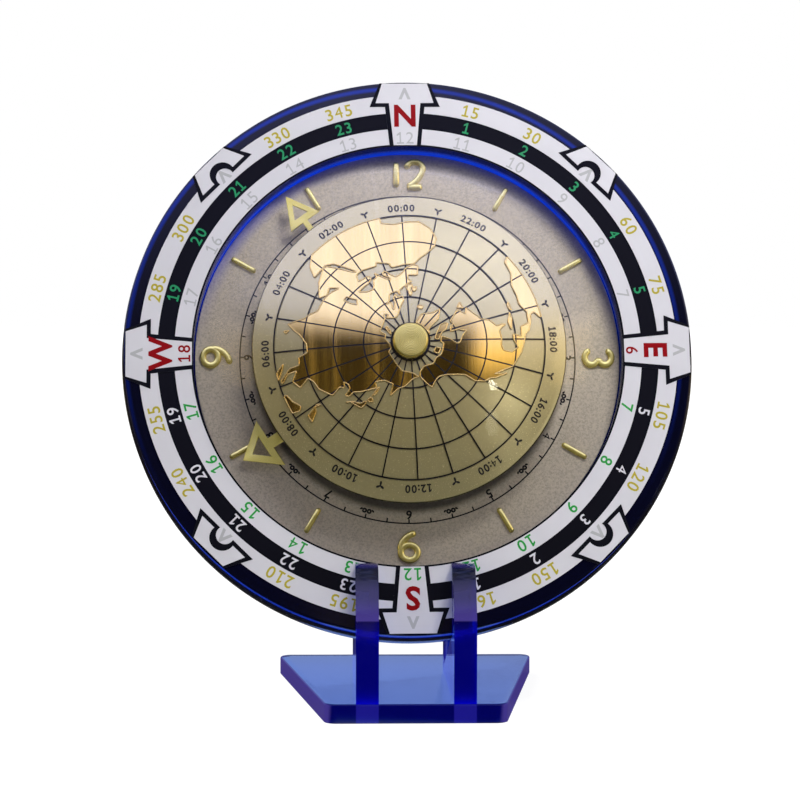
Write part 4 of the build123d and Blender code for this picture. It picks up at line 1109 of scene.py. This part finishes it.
class CLOCK_OT_markers(bpy.types.Operator):
    """Model the applied half-round numerals and batons"""

    bl_idname = "clock.markers"
    bl_label = "Hour markers"

    def execute(self, context):
        size = sizes(context)
        width, height = size["marker_width"], size["marker_height"]
        gold = finish("marker_gold", applied_gold, context.scene.clock_colours, 0.72)
        shapes = []
        for hour, spin in ((12, 0.0), (3, 90.0), (6, 0.0), (9, -90.0)):
            angle = radians(30.0 * hour)
            place = (MARKER_LINE * sin(angle), MARKER_LINE * cos(angle))
            bars = numeral_bars(hour, size["numeral_width"], height)
            shapes += [shift(turn(one, spin), *place) for one in bars]
        piece("numeral_bars", join(shapes), "head", gold, ("hour_numerals",), sharp=60.0)
        baton = bar([(0.0, 56.3), (0.0, 65.3)], width, height, DIAL_TOP - 0.05)
        shapes = [turn(baton, 30.0 * hour) for hour in (1, 2, 4, 5, 7, 8, 10, 11)]
        piece("baton_bars", join(shapes), "head", gold, ("hour_batons",), sharp=60.0)
        return {"FINISHED"}


class CLOCK_OT_hands(bpy.types.Operator):
    """Soften and gild the two pierced hands"""

    bl_idname = "clock.hands"
    bl_label = "Hands"

    def execute(self, context):
        colours = context.scene.clock_colours
        gold = finish("hand_gold", applied_gold, colours, 0.12)
        bevel = sizes(context)["hand_bevel"]
        copy_of("hour_hand", "hour_pointer", gold, bevel=bevel)
        copy_of("minute_hand", "minute_pointer", gold, bevel=bevel)
        paint(bright_brass(colours), "centre_nut", "centre_washer", "minute_arbor", "hour_wheel")
        return {"FINISHED"}


def round_land(made):
    """Give the land's top the sphere's own normals, so that it mirrors as one dome, and keep its walls
    square."""
    mesh = made.data
    ray = points_of(mesh) - DOME_MIDDLE
    ray /= np.linalg.norm(ray, axis=1, keepdims=True)
    corner = np.empty(len(mesh.loops), np.int64)
    mesh.loops.foreach_get("vertex_index", corner)
    flat = np.empty(len(mesh.polygons) * 3)
    mesh.polygons.foreach_get("normal", flat)
    count = np.empty(len(mesh.polygons), np.int64)
    mesh.polygons.foreach_get("loop_total", count)
    wall = np.repeat(flat.reshape(-1, 3), count, axis=0)
    crown = ray[corner]
    up = np.sum(wall * crown, axis=1, keepdims=True) > 0.9
    mesh.normals_split_custom_set(np.where(up, crown, wall).tolist())


def coast(mesh):
    """The land's coastlines as closed paths on the dial: the edges between its top and its walls, put in
    order."""
    work = bmesh.new()
    work.from_mesh(mesh)
    middle = Vector(DOME_MIDDLE)
    top = {side for side in work.faces if side.normal.dot(side.calc_center_median() - middle) > 0.14}
    # A dict keeps the mesh's own order, so that each coast starts at the same edge in every run
    rest = dict.fromkeys(edge for edge in work.edges if sum(side in top for side in edge.link_faces) == 1)
    loops = []
    while rest:
        edge = next(iter(rest))
        del rest[edge]
        first, last = edge.verts
        path = [first, last]
        while last is not first:
            edge = next((near for near in last.link_edges if near in rest), None)
            if edge is None:
                break
            del rest[edge]
            last = edge.other_vert(last)
            path.append(last)
        loops.append(np.array([spot.co for spot in path]))
    work.free()
    return [np.column_stack(((loop - HEAD) @ RIGHT, (loop - HEAD) @ UP)) / MM for loop in loops]


def bead(path, width, height, sides=7):
    """A thin raised bead along a closed coast: points every 0.3 mm, a half-round section that stands on
    the dome."""
    total = distances(path)[-1]
    count = max(int(total / 0.3), 6)
    spot = spots(path, np.linspace(0.0, total, count, endpoint=False))
    spot = 0.5 * spot + 0.25 * (np.roll(spot, 1, 0) + np.roll(spot, -1, 0))
    left = leftward(np.roll(spot, -1, 0) - np.roll(spot, 1, 0))
    arch = np.linspace(0.0, pi, sides)
    flat = spot[:, None, :] + width / 2.0 * np.cos(arch)[:, None] * left[:, None, :]
    rise = dome(np.hypot(flat[..., 0], flat[..., 1]), LAND_RISE - 0.06) + height * np.sin(arch)
    return np.dstack((flat, rise[..., None])).reshape(-1, 3), quads(count, sides, close_rows=True)


def plane_mark():
    """A small three-armed sign between the zones: a stem and two swept arms, each a tapered blade."""
    blade = np.array([(-0.16, -0.1), (0.16, -0.1), (0.36, 0.7), (0.24, 1.35), (-0.24, 1.35), (-0.36, 0.7)])
    return join(around(slab(blade, -0.02, 0.04), 3, 60.0))


class CLOCK_OT_world(bpy.types.Operator):
    """Spin the satin dome, raise its land and print the polar grid, the zone figures and their signs"""

    bl_idname = "clock.world"
    bl_label = "World disc"

    def execute(self, context):
        colours = context.scene.clock_colours
        size = sizes(context)
        rim = DISC_RADIUS - DISC_WALL / 2.0
        edge = np.linspace(DISC_HOLE, rim, 60)
        upper = np.column_stack((edge, dome(edge)))
        lower = np.column_stack((edge, dome(edge, -DISC_WALL)))[::-1]
        arch = np.linspace(pi / 2.0, -pi / 2.0, 12)[1:-1]
        centre = (dome(rim) + dome(rim, -DISC_WALL)) / 2.0
        half = (dome(rim) - dome(rim, -DISC_WALL)) / 2.0
        nose = np.column_stack((rim + DISC_WALL / 2.0 * np.cos(arch), centre + half * np.sin(arch)))
        profile = np.vstack((upper, nose, lower))
        satin = finish("sea_satin", sea_satin, colours)
        piece("sea_dome", lathe(profile), "world_map", satin, ("world_disc",))
        land = copy_of("landmass_relief", "land_relief", finish("land_gold", land_gold, colours))
        beads = [bead(path, 0.5, 0.22) for path in coast(land.data)]
        round_land(land)
        bright = finish("coast_gold", coast_gold, colours)
        piece("coast_beads", join(beads), "world_map", bright, sharp=70.0)
        wide = size["grid_width"]
        low, high = -0.05, LAND_RISE + 0.03
        lines = around(rib(WASHER - 0.2, EQUATOR, wide, low, high), 24, PRIME)
        lines += [hoop(radius, wide, low, high) for radius in (14.55, 23.95, 33.24, EQUATOR)]
        piece("map_grid", join(lines), "world_map", black_ink())
        tall = size["zone_height"]
        marks = [
            word(f"{2 * step:02d}:00", ZONE_LINE, PRIME - 30.0 * step, tall, -0.02, 0.04, 0.03, 0.14)
            for step in range(12)
        ]
        marks += around(shift(plane_mark(), 0.0, SIGN_LINE), 12, PRIME + 15.0)
        piece("zone_print", on_dome(join(marks)), "world_map", black_ink())
        return {"FINISHED"}


class CLOCK_OT_knob(bpy.types.Operator):
    """Turn the brass knob on its dark washer"""

    bl_idname = "clock.knob"
    bl_label = "Centre knob"

    def execute(self, context):
        brass = bright_brass(context.scene.clock_colours)
        knob = [
            (0.0, 16.86), (0.6, 16.9), (4.7, 17.0), (5.05, 16.95), (5.35, 16.75), (5.5, 16.4),
            (5.5, WASHER_TOP), (0.0, WASHER_TOP),
        ]
        turned = lathe(knob, 96, closed=False)
        piece("knob_turning", turned, "world_map", brass, ("centre_knob",), sharp=40.0)
        foot = DOME_APEX - 0.1
        ring = [
            (DISC_HOLE, foot), (DISC_HOLE, WASHER_TOP), (WASHER - 0.15, WASHER_TOP),
            (WASHER, WASHER_TOP - 0.15), (WASHER, foot),
        ]
        black = finish("black_sheet", black_sheet)
        piece("washer_ring", lathe(ring, 96), "world_map", black, ("knob_washer",))
        paint(brass, "world_hub", "world_wheel")
        paint(bright_steel(), "world_arbor")
        return {"FINISHED"}


def cap(radius, rise, count=64):
    """A dome's profile from the axis to its foot: a circle through the apex and the foot."""
    sphere = (radius**2 + rise**2) / (2.0 * rise)
    along = radius * np.sin(np.linspace(0.0, pi / 2.0, count))
    return np.column_stack((along, rise - sphere + np.sqrt(sphere**2 - along**2)))


class CLOCK_OT_crystal(bpy.types.Operator):
    """Spin the clear domed crystal"""

    bl_idname = "clock.crystal"
    bl_label = "Crystal"

    def execute(self, context):
        hollow = CRYSTAL - CRYSTAL_WALL
        outer, inner = cap(CRYSTAL, CRYSTAL_RISE), cap(hollow, CRYSTAL_RISE - CRYSTAL_WALL)
        foot = np.array([(CRYSTAL, -5.5), (hollow, -5.5)])
        cover = lathe(np.vstack((outer, foot, inner[::-1])), closed=False)
        look = finish("clear_crystal", clear_crystal)
        piece("crystal_cover", cover, "bezel", look, ("crystal_dome",))
        return {"FINISHED"}


class CLOCK_OT_movement(bpy.types.Operator):
    """Finish the movement at the back: moulded case, cover, door, knob and screws, and the works inside"""

    bl_idname = "clock.movement"
    bl_label = "Movement"

    def execute(self, context):
        black = finish("case_plastic", moulded, (0.045, 0.045, 0.048), 0.38, 0.35)
        for node, name, bevel in (
            ("movement_case", "case_moulding", 0.5), ("movement_cover", "cover_moulding", 0.25),
            ("battery_door", "door_moulding", 0.15), ("setting_knob", "knob_moulding", 0.2),
        ):
            copy_of(node, name, black, bevel=bevel, edge=50.0)
        paint(
            bright_steel(), "cover_screws", "contact_positive", "contact_negative", "quartz_can",
            "stator_plate", "coil_core",
        )
        paint(
            finish("wheel_plastic", moulded, (0.74, 0.73, 0.68), 0.45, 0.1), "motion_wheel",
            "intermediate_wheel", "third_wheel", "fourth_wheel", "rotor", "setting_arbor", "coil_bobbin",
        )
        paint(finish("board_lacquer", moulded, (0.03, 0.16, 0.06), 0.35, 0.05), "circuit_board")
        paint(finish("cell_jacket", moulded, (0.03, 0.03, 0.035), 0.25, 0.03), "battery_cell")
        paint(finish("coil_copper", plain_metal, (0.62, 0.26, 0.1), 0.3), "coil_winding")
        return {"FINISHED"}


def lamp(name, place, power, wide, tall, mirrored):
    """A soft rectangular panel that faces the head; mirrors may be kept from showing it."""
    light = bpy.data.lights.new(name, "AREA")
    light.energy, light.shape, light.size, light.size_y = power, "RECTANGLE", wide, tall
    made = bpy.data.objects.new(name, light)
    made.visible_glossy = mirrored
    made.visible_camera = False
    made.location = place
    made.rotation_euler = Vector(HEAD - np.array(place)).to_track_quat("-Z", "Y").to_euler()
    bpy.context.scene.collection.objects.link(made)


def sight(made):
    """One where a ray comes from the camera or through clear sheet, zero elsewhere; and the mirror rays."""
    camera, mirror, through = (made.node("ShaderNodeLightPath", output=index) for index in (0, 3, 6))
    seen = made.node("ShaderNodeMath", {"operation": "MAXIMUM"}, {0: camera, 1: through})
    return seen, mirror


def room_light(context):
    """The room: white for sight; for mirrors a dark front with a bright ceiling, a pale right side,
    upright streaks on the left, a window at each side and a dim blue back; an even fill for the rest."""
    world = bpy.data.worlds.new("studio")
    context.scene.world = world
    world.use_nodes = True
    made = Finish("studio", world.node_tree)
    seen, mirror = sight(made)
    x, y, z = made.split(made.node("ShaderNodeTexCoord", output=0))
    ceiling = made.ramp(z, 0.46, 0.61, 0.0, 1.35)
    wall = made.ramp(x, 0.26, 0.36, 0.0, 1.45) * made.ramp(z, 0.27, 0.44, 0.08, 1.0)
    wall = wall * made.ramp(z, 0.46, 0.61, 1.0, 0.1)
    stripe = made.node(
        "ShaderNodeTexNoise", {"noise_dimensions": "1D"}, {"W": x, "Scale": 34.0, "Detail": 3.0},
    )
    streak = made.ramp(stripe, 0.53, 0.64, 0.0, 0.4) * made.ramp(x, 0.0, 0.15, 1.0, 0.0)
    window = made.ramp(abs(abs(x) - 0.79), 0.04, 0.08, 3.0, 0.0)
    window = window * made.ramp(abs(z - 0.34), 0.1, 0.18, 1.0, 0.0)
    front = 0.05 + ceiling + wall + streak + window
    back = made.ramp(y, -0.1, 0.1)
    warm = made.mix(made.ramp(z, 0.38, 0.6), (1.0, 0.78, 0.45), (1.0, 1.06, 2.05))
    room = made.mix(back, warm, (0.16, 0.2, 0.36))
    level = front * (1.0 - back) + back
    paper = made.mix(mirror, (1.0, 1.0, 1.0), room)
    strength = seen + (1.0 - seen) * (mirror * level + (1.0 - mirror) * context.scene.clock_stage.fill)
    colour = made.mix(seen, paper, (1.0, 1.0, 1.0))
    sky = made.node("ShaderNodeBackground", None, {0: colour, 1: strength})
    made.node("ShaderNodeOutputWorld", None, {0: sky})


def floor_sheet(context):
    """A pale flat floor that fades into the white of the room and keeps the clock's shadow."""
    made = Finish("floor_white")
    seen, mirror = sight(made)
    tone = made.mix(mirror, (0.9, 0.9, 0.9), (0.05, 0.05, 0.05))
    paper = made.node("ShaderNodeBsdfDiffuse", None, {0: tone})
    glow = made.node("ShaderNodeEmission", None, {0: (1.0, 1.0, 1.0, 1.0), 1: 1.2})
    right, up, out = made.axes()
    far = made.ramp((right * right + up * up + out * out) ** 0.5, 0.3, 0.9, 0.78, 1.0)
    look = made.close(made.node("ShaderNodeMixShader", None, {0: seen * far, 1: paper, 2: glow}))
    reach = np.linspace(-6.0, 6.0, 13)
    across, along = np.meshgrid(reach, reach)
    points = np.column_stack((across.ravel(), along.ravel(), np.zeros(across.size)))
    mesh = bpy.data.meshes.new("floor")
    mesh.from_pydata(points.tolist(), [], quads(13, 13, close_cols=False))
    mesh.materials.append(look)
    floor = bpy.data.objects.new("floor", mesh)
    context.scene.collection.objects.link(floor)


def photo_camera(context):
    """The camera of the front view: a long lens, a little left of the clock and above its middle."""
    data = bpy.data.cameras.new("photo_camera")
    data.sensor_width, data.lens, data.clip_start = 36.0, 108.0, 0.05
    eye = bpy.data.objects.new("photo_camera", data)
    pan = Matrix.Rotation(radians(-1.99), 4, "Z")
    tilt = Matrix.Rotation(radians(90.0 - 2.87), 4, "X")
    roll = Matrix.Rotation(radians(0.13), 4, "Z")
    eye.matrix_world = Matrix.Translation((-0.0304, -0.7732, 0.135)) @ pan @ tilt @ roll
    context.scene.collection.objects.link(eye)
    context.scene.camera = eye


class CLOCK_OT_stage(bpy.types.Operator):
    """Set the floor, the soft lights and the camera"""

    bl_idname = "clock.stage"
    bl_label = "Stage"

    def execute(self, context):
        floor_sheet(context)
        room_light(context)
        power = context.scene.clock_stage
        for name, place, watts, wide, tall, mirrored in (
            ("key_panel", (0.15, -0.3, 0.5), power.key, 0.2, 0.12, False),
            ("left_panel", (-0.95, -0.35, 0.35), 0.6 * power.side, 0.4, 0.7, False),
            ("right_panel", (0.95, -0.35, 0.35), 1.2 * power.side, 0.4, 0.7, False),
            ("back_panel", (-0.45, 0.85, 0.75), power.back, 0.6, 0.45, False),
            ("spark_lamp", (0.62, -1.15, 0.4), power.spark, 0.05, 0.05, True),
            ("glint_panel", (0.62, -1.2, 0.14), 0.4 * power.spark, 0.08, 0.16, True),
        ):
            lamp(name, place, watts, wide, tall, mirrored)
        photo_camera(context)
        context.scene.view_settings.view_transform = "Standard"
        return {"FINISHED"}


STEPS_IN_ORDER = (
    CLOCK_OT_stage, CLOCK_OT_stand, CLOCK_OT_bezel, CLOCK_OT_scales, CLOCK_OT_figures, CLOCK_OT_dial,
    CLOCK_OT_markers, CLOCK_OT_hands, CLOCK_OT_world, CLOCK_OT_knob, CLOCK_OT_crystal, CLOCK_OT_movement,
)


class CLOCK_PT_panel(bpy.types.Panel):
    """Lists the clock's pieces and their sizes"""

    bl_idname = "CLOCK_PT_panel"
    bl_label = "World Time Clock"
    bl_space_type = "VIEW_3D"
    bl_region_type = "UI"
    bl_category = "Clock"

    def draw(self, context):
        column = self.layout.column()
        for step in STEPS_IN_ORDER:
            column.operator(step.bl_idname)
        for name, _ in GROUPS:
            group = getattr(context.scene, name)
            for key in keys_of(group):
                column.prop(group, key)


GROUPS = (("clock_sizes", ClockSizes), ("clock_colours", ClockColours), ("clock_stage", ClockStage))


def register():
    """Register the groups, the operators and the panel."""
    for key, group in GROUPS:
        bpy.utils.register_class(group)
        setattr(bpy.types.Scene, key, PointerProperty(type=group))
    for step in STEPS_IN_ORDER + (CLOCK_PT_panel,):
        bpy.utils.register_class(step)


def unregister():
    """Undo register in the opposite order."""
    for step in (CLOCK_PT_panel,) + STEPS_IN_ORDER[::-1]:
        bpy.utils.unregister_class(step)
    for key, group in GROUPS[::-1]:
        delattr(bpy.types.Scene, key)
        bpy.utils.unregister_class(group)


def main():
    """Build every piece in order."""
    register()
    for step in STEPS_IN_ORDER:
        group, name = step.bl_idname.split(".")
        getattr(getattr(bpy.ops, group), name)()


if __name__ == "__main__":
    main()
